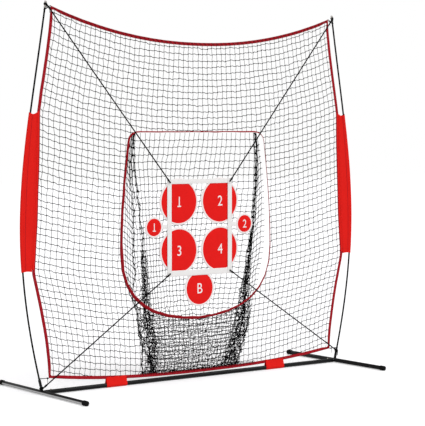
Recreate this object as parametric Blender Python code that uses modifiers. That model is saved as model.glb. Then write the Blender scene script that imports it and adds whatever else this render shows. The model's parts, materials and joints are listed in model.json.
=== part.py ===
"""Free-standing pitching target net: a tube base, two bowed rods, a framed net with a ball
pocket, and a strike-zone target hung in its opening on four elastic cords.

Metres, +Z up. The origin is on the floor below the middle of the net. +X runs along the
net's width, and the thrower stands on the -Y side. The net hangs in the plane y = 0.
"""

import math

import bmesh
import bpy
from mathutils import Matrix, Vector

# Clearances
GAP = 0.0003  # between pieces that touch
SEW_GAP = 0.0005  # between layers sewn together

# Base: two feet joined by a crossbar in two halves
FOOT_SPACING = 2.222  # between the two feet, centre to centre
FOOT_LENGTH = 0.958  # tube only
TUBE_RADIUS = 0.0127
TUBE_WALL = 0.0015
CAP_WALL = 0.0023
CAP_GRIP = 0.032  # length of tube that a cap covers
CAP_END = 0.004
CAP_CHAMFER = 0.001
CAP_FLAT = 0.0005  # depth of the flat that a cap stands on
CAP_CLEARANCE = 0.0003
SPIGOT_CLEARANCE = 0.0003
SPIGOT_REACH = 0.085  # from the foot's side into the crossbar
SPLICE_LENGTH = 0.150
BUTTON_INSET = 0.045  # from the end of the tube to the button
BAR_END_GAP = 0.001

# Snap buttons
BUTTON_RADIUS = 0.0039
BUTTON_CLEARANCE = 0.0003
BUTTON_PROUD = 0.0035
BUTTON_DOME = 0.0012
BUTTON_FLANGE_RADIUS = 0.0055
BUTTON_FLANGE = 0.0012
SPRING_WIRE = 0.0007
SPRING_ARM = 0.026
SPRING_TOE = 0.004  # past the button's centre line

# Bowed rods
POLE_HEIGHT = 2.258  # floor to the top of the rod
POLE_TOP_SPACING = FOOT_SPACING - 0.072
POLE_FOOT_LEAN = 0.262  # sideways per unit of height
POLE_TOP_LEAN = 0.153
POLE_FOOT_PULL = 0.939  # how far each end's lean carries into the bow
POLE_TOP_PULL = 0.879
ROD_RADIUS = 0.00525
ROD_STEP = 0.010  # least distance between bends of a rod
ROD_SEAT = 0.001  # above the foot tube
SOCKET_CLEARANCE = 0.0006
SOCKET_WALL = 0.0024
SOCKET_LENGTH = 0.075  # from the foot's centre line
FERRULE_CLEARANCE = 0.0005
FERRULE_WALL = 0.0012
FERRULE_LENGTH = 0.090
FERRULE_HEIGHT = 1.130
TIP_LENGTH = 0.040
TIP_WALL = 0.0012
TIP_CAP = 0.004
TIP_CLEARANCE = 0.0004

# Net and its border tapes. A side stands off its pole by the amounts below.
NET_THICKNESS = 0.0025
TAPE_WIDTH = 0.020
NET_TOP_DROP = 0.023  # below the top of the rod
NET_CORNER_RISE = 0.0686  # the net's lower corners above the height of a tube
NET_BOTTOM_HEIGHT = NET_CORNER_RISE + 2 * TUBE_RADIUS
NET_TOP_SAG = 0.180
NET_BOTTOM_SAG = 0.061
NET_SIDE_LEANS = ((0.04, 0.24), (-0.10, -0.035), (-0.035, 0.01), (-0.15, -0.07))
STANDOFF_TOP = 0.037
STANDOFF_BOTTOM = 0.064
STANDOFF_SLEEVE_TOP = 0.043
STANDOFF_SLEEVE_BOTTOM = 0.058
STANDOFF_SLEEVE_MIDDLE = 0.088
SLEEVE_HEIGHT = 0.714  # floor to the sleeve's lower end
SLEEVE_LENGTH = 0.912
SLEEVE_WAIST = 0.45  # share of its length at which it is widest
SLEEVE_CLOTH = 0.0012
SLEEVE_CLEARANCE = 0.0005

# Opening in the net, and the pocket behind it
OPENING_TOP = 1.515
OPENING_BOTTOM = 0.375
OPENING_TOP_WIDTH = 0.880  # the straight part of the top
OPENING_SHOULDER = 1.028  # width just below the top corners
OPENING_WIDTH = 1.126
OPENING_WIDEST = 0.800  # height at which it is widest
OPENING_CORNER = 0.065
RIM_WIDTH = 0.012
RIM_FRONT = 0.010
RIM_BACK = 0.0025
POCKET_DEPTH = 0.170
POCKET_THICKNESS = 0.0025
POCKET_SETBACK = 0.0045
POCKET_BOTTOM = 0.045
POCKET_BOTTOM_WIDTH = 0.900

# Strap loops that hold the net down to the crossbar
STRAP_WIDTH = 0.145
STRAP_PLACE = 0.6025  # centre of the net to the centre of a strap
STRAP_CLOTH = 0.001
STRAP_TOP = 0.016  # above the net's lower edge

# Cords
BUNGEE_RADIUS = 0.0040
BUNGEE_FOOT = {"left": 0.024, "right": 0.060}  # up the socket to a lower cord's end
BUNGEE_TIP_DROP = 0.014  # below the top of the rod
BUNGEE_INSET = 0.020  # corner of the webbing to the end of a cord
LOOP_RADIUS = 0.0015
LOOP_CLEARANCE = 0.0004
LOOP_SPACE = 0.004  # along the rod to the tip or the socket
LOOP_BEND = 0.002

# Strike zone: a webbing rectangle with discs sewn behind it
DISC_RADIUS = 0.1425
DISC_CENTRE = 0.940  # floor to the middle of the four discs
ZONE_WIDTH = 4 * DISC_RADIUS - 0.080  # the discs show at both sides of it
ZONE_HEIGHT = 4 * DISC_RADIUS + 0.020
ZONE_CENTRE = DISC_CENTRE - 0.010  # the lower webbing is the wider one
ZONE_FRONT = 0.024  # in front of the net's plane
WEB_THICKNESS = 0.002
SIDE_WEB = 0.032
TOP_WEB = 0.028
BOTTOM_WEB = 0.036
DISC_THICKNESS = 0.008
DISC_SPACE = 0.025  # between discs side by side
DISC_ROW_SPACE = 0.012
LOW_DISC_RADIUS = 0.111
LOW_DISC_TUCK = 0.030  # how far it goes up behind the lower webbing
SMALL_DISC_RADIUS = 0.065
SMALL_DISC_REACH = 0.033  # webbing's edge to the small disc's edge
SMALL_STRAP_WIDTH = 0.025

# Mesh fineness
TUBE_SIDES = 24
DISC_SIDES = 40
SMALL_SIDES = 20
FLOOR_BLOCK = 0.1  # cutter size

AXIS_HEIGHT = TUBE_RADIUS + CAP_CLEARANCE + CAP_WALL - CAP_FLAT
FOOT_X = FOOT_SPACING / 2
SIDES = (("left", -1), ("right", 1))
LEVELS = (("top", 1), ("bottom", -1))


# ---------------------------------------------------------------- scene and materials


def clear_scene():
    for obj in list(bpy.data.objects):
        bpy.data.objects.remove(obj, do_unlink=True)


def new_collection(name, hidden=False):
    collection = bpy.data.collections.new(name)
    bpy.context.scene.collection.children.link(collection)
    collection.hide_render = hidden
    return collection


def make_material(name, colour, roughness, metallic=0.0):
    material = bpy.data.materials.new(name)
    material.use_nodes = True
    shader = material.node_tree.nodes["Principled BSDF"]
    shader.inputs["Base Color"].default_value = (*colour, 1.0)
    shader.inputs["Roughness"].default_value = roughness
    shader.inputs["Metallic"].default_value = metallic
    material.diffuse_color = (*colour, 1.0)
    return material


clear_scene()
PARTS = new_collection("pitching_target_net")
CUTTERS = new_collection("cutters", hidden=True)

STEEL = make_material("zinc_plated_steel", (0.42, 0.42, 0.43), 0.35, 1.0)
BLACK_STEEL = make_material("black_coated_steel", (0.012, 0.012, 0.013), 0.4)
FIBREGLASS = make_material("black_fibreglass", (0.010, 0.010, 0.010), 0.35)
ALUMINIUM = make_material("aluminium", (0.75, 0.75, 0.74), 0.3, 1.0)
RUBBER = make_material("black_rubber", (0.015, 0.015, 0.015), 0.7)
BRASS_NICKEL = make_material("nickel_plated_brass", (0.62, 0.60, 0.55), 0.25, 1.0)
SPRING_STEEL = make_material("spring_steel", (0.33, 0.34, 0.36), 0.3, 1.0)
NETTING = make_material("black_knotted_netting", (0.010, 0.010, 0.010), 0.85)
RED_TAPE = make_material("red_border_webbing", (0.36, 0.006, 0.014), 0.7)
RED_CLOTH = make_material("red_sleeve_cloth", (0.72, 0.018, 0.012), 0.65)
CORD = make_material("black_elastic_cord", (0.012, 0.012, 0.012), 0.75)
WHITE_WEB = make_material("white_webbing", (0.86, 0.83, 0.80), 0.7)
RED_PAD = make_material("red_padded_vinyl", (0.74, 0.012, 0.012), 0.5)


def finish(obj, name, material, collection=PARTS):
    obj.name = name
    for old in list(obj.users_collection):
        old.objects.unlink(obj)
    collection.objects.link(obj)
    obj.data.name = name
    obj.data.materials.clear()
    if material is not None:
        obj.data.materials.append(material)
    if obj.type == "MESH" and collection is PARTS:
        obj.data.shade_smooth()
        obj.data.set_sharp_from_angle(angle=math.radians(35))
    return obj


# ---------------------------------------------------------------- shape builders


def turn_towards(direction):
    """The rotation that takes +Z to this direction."""
    return Vector(direction).to_track_quat("Z", "Y").to_matrix().to_4x4()


def box(name, low, high, material):
    bpy.ops.mesh.primitive_cube_add(size=1)
    obj = bpy.context.object
    low, high = Vector(low), Vector(high)
    obj.data.transform(Matrix.Diagonal((*(high - low), 1)))
    obj.location = (low + high) / 2
    return finish(obj, name, material)


def cylinder(name, start, end, radius, sides, material, collection=PARTS, ends="NGON"):
    """A cylinder from start to end, placed by its origin at the middle."""
    start, end = Vector(start), Vector(end)
    bpy.ops.mesh.primitive_cylinder_add(
        vertices=sides, radius=radius, depth=(end - start).length, end_fill_type=ends
    )
    obj = bpy.context.object
    obj.matrix_world = Matrix.Translation((start + end) / 2) @ turn_towards(end - start)
    return finish(obj, name, material, collection)


def tube(name, start, end, radius, wall, material):
    obj = cylinder(name, start, end, radius, TUBE_SIDES, material, ends="NOTHING")
    solid = obj.modifiers.new("wall", "SOLIDIFY")
    solid.thickness = wall
    solid.offset = -1
    return obj


def cutter(name, start, end, radius, sides=SMALL_SIDES):
    obj = cylinder(name, start, end, radius, sides, None, CUTTERS)
    obj.hide_render = True
    obj.display_type = "WIRE"
    return obj


def cut(obj, tool):
    boolean = obj.modifiers.new(tool.name, "BOOLEAN")
    boolean.operation = "DIFFERENCE"
    boolean.solver = "EXACT"
    boolean.object = tool


def turned(name, profile, material, sides=SMALL_SIDES):
    """A body turned about Z. The profile is (radius, height) down its outer side."""
    mesh = bpy.data.meshes.new(name)
    points = [(radius, 0, height) for radius, height in profile]
    edges = [(i, i + 1) for i in range(len(points) - 1)]
    mesh.from_pydata(points, edges, [])
    obj = bpy.data.objects.new(name, mesh)
    screw = obj.modifiers.new("turn", "SCREW")
    screw.steps = sides
    screw.render_steps = sides
    screw.use_merge_vertices = True
    screw.merge_threshold = 0.00005
    screw.use_smooth_shade = True
    return finish(obj, name, material)


def place(obj, point, direction=(0, 0, 1)):
    obj.matrix_world = Matrix.Translation(Vector(point)) @ turn_towards(direction)
    return obj


def wire(name, points, radius, material, closed=False, wall=None):
    """A round cord or rod along these points, or a hollow one where wall is given."""
    curve = bpy.data.curves.new(name, "CURVE")
    curve.dimensions = "3D"
    curve.bevel_depth = radius
    curve.bevel_resolution = 2
    curve.use_fill_caps = wall is None
    spline = curve.splines.new("POLY")
    spline.points.add(len(points) - 1)
    for spot, point in zip(spline.points, points):
        spot.co = (*point, 1)
    spline.use_cyclic_u = closed
    obj = bpy.data.objects.new(name, curve)
    if wall is not None:
        solid = obj.modifiers.new("wall", "SOLIDIFY")
        solid.thickness = wall
        solid.offset = -1
    return finish(obj, name, material)


def plate(name, outlines, front, back, material):
    """A flat sheet in the net's plane, between y = -front and y = back."""
    curve = bpy.data.curves.new(name, "CURVE")
    curve.dimensions = "2D"
    curve.fill_mode = "BOTH"
    curve.extrude = (front + back) / 2
    for outline in outlines:
        spline = curve.splines.new("POLY")
        spline.points.add(len(outline) - 1)
        for spot, (x, z) in zip(spline.points, outline):
            spot.co = (x, z, 0, 1)
        spline.use_cyclic_u = True
    obj = bpy.data.objects.new(name, curve)
    obj.rotation_euler = (math.radians(90), 0, 0)
    obj.location = (0, (back - front) / 2, 0)
    return finish(obj, name, material)


def shell(name, rows, thickness, material):
    """A cloth surface through rows of points, thickened to both sides."""
    sheet = bmesh.new()
    grid = [[sheet.verts.new(point) for point in row] for row in rows]
    for lower, upper in zip(grid, grid[1:]):
        for i in range(len(lower) - 1):
            sheet.faces.new((lower[i], lower[i + 1], upper[i + 1], upper[i]))
    mesh = bpy.data.meshes.new(name)
    sheet.to_mesh(mesh)
    sheet.free()
    obj = bpy.data.objects.new(name, mesh)
    solid = obj.modifiers.new("cloth", "SOLIDIFY")
    solid.thickness = thickness
    solid.offset = 0
    return finish(obj, name, material)


def joint_empty(name, point):
    """An empty on a joint's axis, for the pieces that move on it."""
    empty = bpy.data.objects.new(name, None)
    PARTS.objects.link(empty)
    empty.location = point
    return empty


def hang(obj, empty):
    obj.parent = empty
    obj.location = obj.location - empty.location
    return obj


# ---------------------------------------------------------------- outlines


def bezier(start, pull, push, end, steps):
    """Points from start up to, but not including, end."""
    found = []
    for i in range(steps):
        t = i / steps
        s = 1 - t
        weights = (s**3, 3 * s * s * t, 3 * s * t * t, t**3)
        corners = (start, pull, push, end)
        found.append(tuple(sum(w * c[k] for w, c in zip(weights, corners)) for k in (0, 1)))
    return found


def leaning(start, start_lean, start_pull, end, end_lean, end_pull, steps):
    """A rising curve (x, z) that leaves start and reaches end with these leans."""
    pull = (start[0] + start_lean * start_pull, start[1] + start_pull)
    push = (end[0] - end_lean * end_pull, end[1] - end_pull)
    return bezier(start, pull, push, end, steps)


def pole_line(steps=36):
    """The bowed rod's centre line on the right side, floor to tip, as (x, z)."""
    foot = (FOOT_X, AXIS_HEIGHT)
    tip = (POLE_TOP_SPACING / 2, POLE_HEIGHT)
    line = leaning(
        foot, POLE_FOOT_LEAN, POLE_FOOT_PULL, tip, -POLE_TOP_LEAN, POLE_TOP_PULL, steps
    )
    return line + [tip]


def pole_x(height, line=tuple(pole_line(200))):
    for (x0, z0), (x1, z1) in zip(line, line[1:]):
        if z1 >= height:
            return x0 + (x1 - x0) * (height - z0) / (z1 - z0)
    return line[-1][0]


def net_side(steps=8):
    """The net's right edge, bottom corner to top corner."""
    top = POLE_HEIGHT - NET_TOP_DROP
    sleeve_top = SLEEVE_HEIGHT + SLEEVE_LENGTH
    sleeve_middle = SLEEVE_HEIGHT + SLEEVE_LENGTH * SLEEVE_WAIST
    knots = [
        (pole_x(NET_BOTTOM_HEIGHT) - STANDOFF_BOTTOM, NET_BOTTOM_HEIGHT),
        (pole_x(SLEEVE_HEIGHT) - STANDOFF_SLEEVE_BOTTOM, SLEEVE_HEIGHT),
        (pole_x(sleeve_middle) - STANDOFF_SLEEVE_MIDDLE, sleeve_middle),
        (pole_x(sleeve_top) - STANDOFF_SLEEVE_TOP, sleeve_top),
        (pole_x(top) - STANDOFF_TOP, top),
    ]
    edge = []
    for start, end, (lean_out, lean_in) in zip(knots, knots[1:], NET_SIDE_LEANS):
        pull = (end[1] - start[1]) / 3
        edge += leaning(start, lean_out, pull, end, lean_in, pull, steps)
    return edge + [knots[-1]]


def sagging(left, right, drop, power, steps=18):
    """An edge between two level corners that hangs by drop in the middle."""
    found = []
    for i in range(steps + 1):
        across = 2 * i / steps - 1
        x = left[0] + (right[0] - left[0]) * i / steps
        found.append((x, left[1] - drop * (1 - abs(across) ** power)))
    return found


def mirrored(points):
    return [(-x, z) for x, z in reversed(points)]


def inset(points, distance):
    """The closed outline moved in by distance. The outline runs anticlockwise."""
    moved = []
    count = len(points)
    for i, point in enumerate(points):
        before = Vector(point) - Vector(points[i - 1])
        after = Vector(points[(i + 1) % count]) - Vector(point)
        normals = [Vector((-d.y, d.x)).normalized() for d in (before, after)]
        middle = (normals[0] + normals[1]).normalized()
        moved.append(tuple(Vector(point) + middle * distance / middle.dot(normals[0])))
    return moved


def net_edges():
    """The net's four edges, anticlockwise: bottom, right, top, left."""
    right = net_side()
    left = mirrored(right)
    bottom = sagging(left[-1], right[0], NET_BOTTOM_SAG, 2.5)
    top = sagging(left[0], right[-1], NET_TOP_SAG, 2.1)
    return [bottom, right, list(reversed(top)), left]


def net_outline(edges):
    return [point for edge in edges for point in edge[:-1]]


def opening_side(steps=8):
    """The right half of the opening's rim, from the bottom middle up to the top middle."""
    half = OPENING_WIDTH / 2
    shoulder = OPENING_SHOULDER / 2
    corner = (OPENING_TOP_WIDTH / 2, OPENING_TOP)
    shoulder_point = (shoulder, OPENING_TOP - OPENING_CORNER)
    widest = (half, OPENING_WIDEST)
    fall = OPENING_WIDEST - OPENING_BOTTOM
    bottom = (0, OPENING_BOTTOM)
    points = bezier(
        bottom, (half * 0.59, OPENING_BOTTOM + 0.01), (half, OPENING_WIDEST - fall * 0.73),
        widest, steps,
    )
    rise = shoulder_point[1] - OPENING_WIDEST
    points += bezier(
        widest, (half, OPENING_WIDEST + rise * 0.38), (shoulder + 0.03, OPENING_TOP - 0.3),
        shoulder_point, steps // 2 + 1,
    )
    points += bezier(
        shoulder_point, (shoulder - 0.004, OPENING_TOP - 0.02), (corner[0] + 0.04, OPENING_TOP),
        corner, steps // 2,
    )
    return points + [corner]


def opening_outline():
    right = opening_side()
    return right + mirrored(right)[:-1]


def opening_half_width(height):
    """Half the opening's width at a height above its widest point, and the widest below."""
    if height <= OPENING_WIDEST:
        return OPENING_WIDTH / 2
    side = [p for p in opening_side() if p[1] >= OPENING_WIDEST]
    for (x0, z0), (x1, z1) in zip(side, side[1:]):
        if z1 >= height:
            return x0 + (x1 - x0) * (height - z0) / (z1 - z0)
    return side[-1][0]


# ---------------------------------------------------------------- base


def add_foot(side, sign):
    x = sign * FOOT_X
    half = FOOT_LENGTH / 2
    tube(
        f"foot_tube_{side}", (x, -half, AXIS_HEIGHT), (x, half, AXIS_HEIGHT),
        TUBE_RADIUS, TUBE_WALL, STEEL,
    )
    for end, way in (("front", -1), ("back", 1)):
        add_foot_cap(f"foot_cap_{side}_{end}", x, way)


def add_foot_cap(name, x, way):
    """A rubber cup over the tube's end, with a flat to stand on."""
    bore = TUBE_RADIUS + CAP_CLEARANCE
    outer = bore + CAP_WALL
    profile = [
        (0, CAP_END), (outer - CAP_CHAMFER, CAP_END), (outer, CAP_END - CAP_CHAMFER),
        (outer, -CAP_GRIP), (bore, -CAP_GRIP), (bore, 0), (0, 0),
    ]
    cap = turned(name, profile, RUBBER, TUBE_SIDES)
    end = way * (FOOT_LENGTH / 2 + GAP)
    place(cap, (x, end, AXIS_HEIGHT), (0, way, 0))
    cut(cap, floor_block(name + "_floor", x, end))


def floor_block(name, x, y):
    """A block whose upper face is the floor, to flatten what stands on it."""
    bpy.ops.mesh.primitive_cube_add(size=FLOOR_BLOCK)
    block = finish(bpy.context.object, name, None, CUTTERS)
    block.location = (x, y, -FLOOR_BLOCK / 2)
    block.hide_render = True
    block.display_type = "WIRE"
    return block


def snap_hole(name, x):
    """A cutter for a snap button's hole through the upper wall."""
    return cutter(
        name, (x, 0, AXIS_HEIGHT + SPRING_WIRE), (x, 0, AXIS_HEIGHT + 2 * TUBE_RADIUS),
        BUTTON_RADIUS + BUTTON_CLEARANCE,
    )


def spigot_radius():
    return TUBE_RADIUS - TUBE_WALL - SPIGOT_CLEARANCE


def add_crossbar():
    """Two halves that meet at the middle, on a splice and two welded spigots."""
    end = FOOT_X - TUBE_RADIUS - BAR_END_GAP
    holes = {
        "left": snap_hole("snap_hole_left", -(end - BUTTON_INSET)),
        "right": snap_hole("snap_hole_right", end - BUTTON_INSET),
        "centre": snap_hole("snap_hole_centre", BUTTON_INSET),
    }
    for side, sign in SIDES:
        bar = tube(
            f"crossbar_{side}", (sign * GAP, 0, AXIS_HEIGHT), (sign * end, 0, AXIS_HEIGHT),
            TUBE_RADIUS, TUBE_WALL, BLACK_STEEL,
        )
        cut(bar, holes[side])
        if side == "right":
            cut(bar, holes["centre"])
        add_spigot(side, sign, holes[side])
    half = SPLICE_LENGTH / 2
    splice = tube(
        "crossbar_splice", (-half, 0, AXIS_HEIGHT), (half, 0, AXIS_HEIGHT),
        spigot_radius(), TUBE_WALL, STEEL,
    )
    cut(splice, holes["centre"])
    add_snap("left", -(end - BUTTON_INSET), 1)
    add_snap("right", end - BUTTON_INSET, -1)
    add_snap("centre", BUTTON_INSET, -1)


def add_spigot(side, sign, hole):
    """A stub welded to the foot, coped to its round side."""
    inner = FOOT_X - TUBE_RADIUS - SPIGOT_REACH
    spigot = tube(
        f"crossbar_spigot_{side}", (sign * inner, 0, AXIS_HEIGHT), (sign * FOOT_X, 0, AXIS_HEIGHT),
        spigot_radius(), TUBE_WALL, STEEL,
    )
    cope = cutter(
        f"spigot_cope_{side}",
        (sign * FOOT_X, -2 * TUBE_RADIUS, AXIS_HEIGHT), (sign * FOOT_X, 2 * TUBE_RADIUS, AXIS_HEIGHT),
        TUBE_RADIUS + GAP, TUBE_SIDES,
    )
    cut(spigot, cope)
    cut(spigot, hole)


def add_snap(name, x, way):
    """A spring button through both walls, and the wire spring that pushes it up."""
    inner = spigot_radius() - TUBE_WALL
    under = math.sqrt(inner**2 - BUTTON_FLANGE_RADIUS**2) - GAP
    top = TUBE_RADIUS + BUTTON_PROUD
    profile = [
        (0, top), (BUTTON_RADIUS * 0.7, top), (BUTTON_RADIUS, top - BUTTON_DOME),
        (BUTTON_RADIUS, under), (BUTTON_FLANGE_RADIUS, under),
        (BUTTON_FLANGE_RADIUS, under - BUTTON_FLANGE), (0, under - BUTTON_FLANGE),
    ]
    centre = Vector((x, 0, AXIS_HEIGHT))
    button = turned(f"snap_button_{name}", profile, BRASS_NICKEL)
    hang(place(button, centre), joint_empty(f"snap_axis_{name}", centre))
    high = under - BUTTON_FLANGE - GAP - SPRING_WIRE
    low = -(inner - GAP - SPRING_WIRE)
    rise = high - low
    points = [(-SPRING_TOE, high)]
    for i in range(7):
        angle = math.radians(90 - 30 * i)
        bend = rise / 5
        points.append((SPRING_ARM + bend * math.cos(angle), low + rise / 3 + bend * math.sin(angle)))
    points.append((-SPRING_TOE, low))
    path = [centre + Vector((way * along, 0, up)) for along, up in points]
    wire(f"snap_spring_{name}", path, SPRING_WIRE, SPRING_STEEL)


# ---------------------------------------------------------------- poles


def on_side(points, sign, y=0.0):
    return [(sign * x, y, z) for x, z in points]


def add_pole(side, sign):
    line = pole_line()
    add_socket(side, sign)
    lean = math.hypot(1, POLE_FOOT_LEAN)
    seat = AXIS_HEIGHT + (TUBE_RADIUS + ROD_RADIUS * POLE_FOOT_LEAN) / lean + ROD_SEAT
    lower = [(pole_x(seat), seat)]
    lower += [p for p in line if seat + ROD_STEP < p[1] < FERRULE_HEIGHT - ROD_STEP]
    lower += [(pole_x(FERRULE_HEIGHT - GAP), FERRULE_HEIGHT - GAP)]
    upper = [(pole_x(FERRULE_HEIGHT + GAP), FERRULE_HEIGHT + GAP)]
    upper += [p for p in line if p[1] > FERRULE_HEIGHT + ROD_STEP]
    wire(f"pole_rod_lower_{side}", on_side(lower, sign), ROD_RADIUS, FIBREGLASS)
    wire(f"pole_rod_upper_{side}", on_side(upper, sign), ROD_RADIUS, FIBREGLASS)
    add_ferrule(side, sign)
    add_tip(side, sign)


def add_socket(side, sign):
    """A short tube welded on the foot, leaning the way the rod leaves it."""
    direction = Vector((sign * POLE_FOOT_LEAN, 0, 1)).normalized()
    foot = Vector((sign * FOOT_X, 0, AXIS_HEIGHT))
    outer = ROD_RADIUS + SOCKET_CLEARANCE + SOCKET_WALL
    socket = tube(
        f"pole_socket_{side}", foot, foot + direction * SOCKET_LENGTH,
        outer, SOCKET_WALL, BLACK_STEEL,
    )
    cope = cutter(
        f"socket_cope_{side}",
        (sign * FOOT_X, -2 * TUBE_RADIUS, AXIS_HEIGHT), (sign * FOOT_X, 2 * TUBE_RADIUS, AXIS_HEIGHT),
        TUBE_RADIUS + GAP, TUBE_SIDES,
    )
    cut(socket, cope)


def ferrule_radius():
    return ROD_RADIUS + FERRULE_CLEARANCE + FERRULE_WALL


def add_ferrule(side, sign):
    heights = [FERRULE_HEIGHT + FERRULE_LENGTH * (i / 4 - 0.5) for i in range(5)]
    points = [(pole_x(z), z) for z in heights]
    wire(
        f"pole_ferrule_{side}", on_side(points, sign), ferrule_radius(), ALUMINIUM,
        wall=FERRULE_WALL,
    )


def tip_radius():
    return ROD_RADIUS + TIP_CLEARANCE + TIP_WALL


def add_tip(side, sign):
    """A metal cup over the rod's end."""
    bore = ROD_RADIUS + TIP_CLEARANCE
    outer = tip_radius()
    profile = [
        (0, TIP_CAP), (outer * 0.75, TIP_CAP), (outer, TIP_CAP * 0.4),
        (outer, -TIP_LENGTH), (bore, -TIP_LENGTH), (bore, 0), (0, 0),
    ]
    tip = turned(f"pole_tip_{side}", profile, ALUMINIUM)
    top = (sign * POLE_TOP_SPACING / 2, 0, POLE_HEIGHT + GAP)
    place(tip, top, (-sign * POLE_TOP_LEAN, 0, 1))


# ---------------------------------------------------------------- net and cloth


def add_net():
    half = NET_THICKNESS / 2
    edges = net_edges()
    outline = net_outline(edges)
    inner = inset(outline, TAPE_WIDTH)
    net = inset(outline, TAPE_WIDTH + GAP)
    hole = inset(opening_outline(), -(RIM_WIDTH / 2 + GAP))
    plate("front_net", [net, hole], half, half, NETTING)
    start = 0
    for name, edge in zip(("bottom", "right", "top", "left"), edges):
        count = len(edge) - 1
        inside = [inner[(start + i) % len(inner)] for i in range(count + 1)]
        add_tape(f"border_tape_{name}", edge, inside, half)
        start += count


def add_tape(name, outside, inside, half):
    """Webbing along one edge of the net, its ends drawn back from the corner seams."""
    def drawn_back(points):
        first, second = Vector(points[0]), Vector(points[1])
        last, before = Vector(points[-1]), Vector(points[-2])
        start = first + (second - first).normalized() * SEW_GAP
        end = last + (before - last).normalized() * SEW_GAP
        return [tuple(start)] + list(points[1:-1]) + [tuple(end)]

    outline = drawn_back(outside) + list(reversed(drawn_back(inside)))
    plate(name, [outline], half, half, RED_TAPE)


def add_rim():
    centre = opening_outline()
    outer = inset(centre, -RIM_WIDTH / 2)
    inner = inset(centre, RIM_WIDTH / 2)
    plate("opening_rim", [outer, inner], RIM_FRONT, RIM_BACK, RED_TAPE)


def pocket_fall(height):
    """How far the pocket bellies back at a height, as a share of its depth."""
    top = OPENING_TOP - RIM_WIDTH / 2
    down = (top - height) / (top - POCKET_BOTTOM)
    down = min(max(down, 0.0), 1.0)
    return max(math.sin(math.pi * down**1.3), 0.0) ** 0.7


def pocket_half_width(height):
    if height >= OPENING_WIDEST:
        return opening_half_width(height)
    share = (height - POCKET_BOTTOM) / (OPENING_WIDEST - POCKET_BOTTOM)
    bottom = POCKET_BOTTOM_WIDTH / 2
    return bottom + (OPENING_WIDTH / 2 - bottom) * share


def add_pocket(rows=13, columns=16):
    """Netting that hangs behind the opening, down to the net's lower edge."""
    top = OPENING_TOP - RIM_WIDTH / 2
    grid = []
    for i in range(rows + 1):
        height = POCKET_BOTTOM + (top - POCKET_BOTTOM) * i / rows
        half = pocket_half_width(height)
        row = []
        for j in range(columns + 1):
            across = 2 * j / columns - 1
            depth = POCKET_DEPTH * pocket_fall(height) * (1 - across**4)
            row.append((half * across, POCKET_SETBACK + depth, height))
        grid.append(row)
    shell("pocket_net", grid, POCKET_THICKNESS, NETTING)


def side_x(height):
    edge = net_side()
    for (x0, z0), (x1, z1) in zip(edge, edge[1:]):
        if z1 >= height:
            return x0 + (x1 - x0) * (height - z0) / (z1 - z0)
    return edge[-1][0]


def add_sleeve(side, sign):
    """Cloth folded round the rod, its two layers sewn together along the net's edge."""
    around = ferrule_radius() + SLEEVE_CLEARANCE + SLEEVE_CLOTH / 2
    layer = SEW_GAP / 2 + SLEEVE_CLOTH / 2 + GAP
    top = SLEEVE_HEIGHT + SLEEVE_LENGTH
    rows = []
    for height in [z for _, z in net_side() if SLEEVE_HEIGHT - GAP < z < top + GAP]:
        edge = side_x(height) + SEW_GAP
        centre = pole_x(height)
        section = [(edge, -layer)]
        for k in range(9):
            angle = math.radians(-104 + 26 * k)
            section.append((centre + around * math.cos(angle), around * math.sin(angle)))
        section.append((edge, layer))
        rows.append([(sign * x, y, height) for x, y in section])
    shell(f"pole_sleeve_{side}", rows, SLEEVE_CLOTH, RED_CLOTH)


def add_bar_strap(side, sign):
    """A cloth loop from the net's lower edge round the crossbar."""
    around = TUBE_RADIUS + GAP + STRAP_CLOTH / 2
    layer = NET_THICKNESS / 2 + SEW_GAP + STRAP_CLOTH / 2
    lower_edge = NET_BOTTOM_HEIGHT - NET_BOTTOM_SAG * (
        1 - (STRAP_PLACE / (pole_x(NET_BOTTOM_HEIGHT) - STANDOFF_BOTTOM)) ** 2.5
    )
    top = lower_edge + STRAP_TOP
    section = [(-layer, top)]
    for k in range(15):
        angle = math.radians(166 + 208 * k / 14)
        section.append((around * math.cos(angle), AXIS_HEIGHT + around * math.sin(angle)))
    section.append((layer, top))
    near = sign * STRAP_PLACE - STRAP_WIDTH / 2
    rows = [[(near + STRAP_WIDTH * i, y, z) for y, z in section] for i in (0, 1)]
    shell(f"bar_strap_{side}", rows, STRAP_CLOTH, RED_CLOTH)


# ---------------------------------------------------------------- cords


def add_corner_loop(name, sign, corner, height):
    """A cord loop from a corner of the net round the rod."""
    around = ROD_RADIUS + LOOP_CLEARANCE + LOOP_RADIUS
    centre = pole_x(height)
    reach = centre - corner[0] - SEW_GAP - LOOP_RADIUS
    points = []
    for k in range(11):
        angle = math.radians(-100 + 20 * k)
        points.append((around * math.cos(angle), around * math.sin(angle), 0))
    rise = corner[1] - height
    for way in (1, 0, -1):
        points.append((-reach + LOOP_BEND * abs(way), way * LOOP_BEND, rise))
    path = [(sign * (centre + x), y, height + z) for x, y, z in points]
    wire(name, path, LOOP_RADIUS, CORD, closed=True)


def add_loops():
    side = net_side()
    below_tip = POLE_HEIGHT - TIP_LENGTH - LOOP_RADIUS - LOOP_SPACE
    above_socket = AXIS_HEIGHT + SOCKET_LENGTH + LOOP_RADIUS + LOOP_SPACE
    for name, sign in SIDES:
        add_corner_loop(f"corner_loop_top_{name}", sign, side[-1], below_tip)
        add_corner_loop(f"corner_loop_bottom_{name}", sign, side[0], above_socket)


def zone_corner(sign, level):
    """Where a cord is sewn on the front of the strike zone, inside the corner of its webbing."""
    x = ZONE_WIDTH / 2 - BUNGEE_INSET
    z = ZONE_CENTRE + level * (ZONE_HEIGHT / 2 - BUNGEE_INSET)
    return Vector((sign * x, -(ZONE_FRONT + SEW_GAP + BUNGEE_RADIUS), z))


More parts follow.
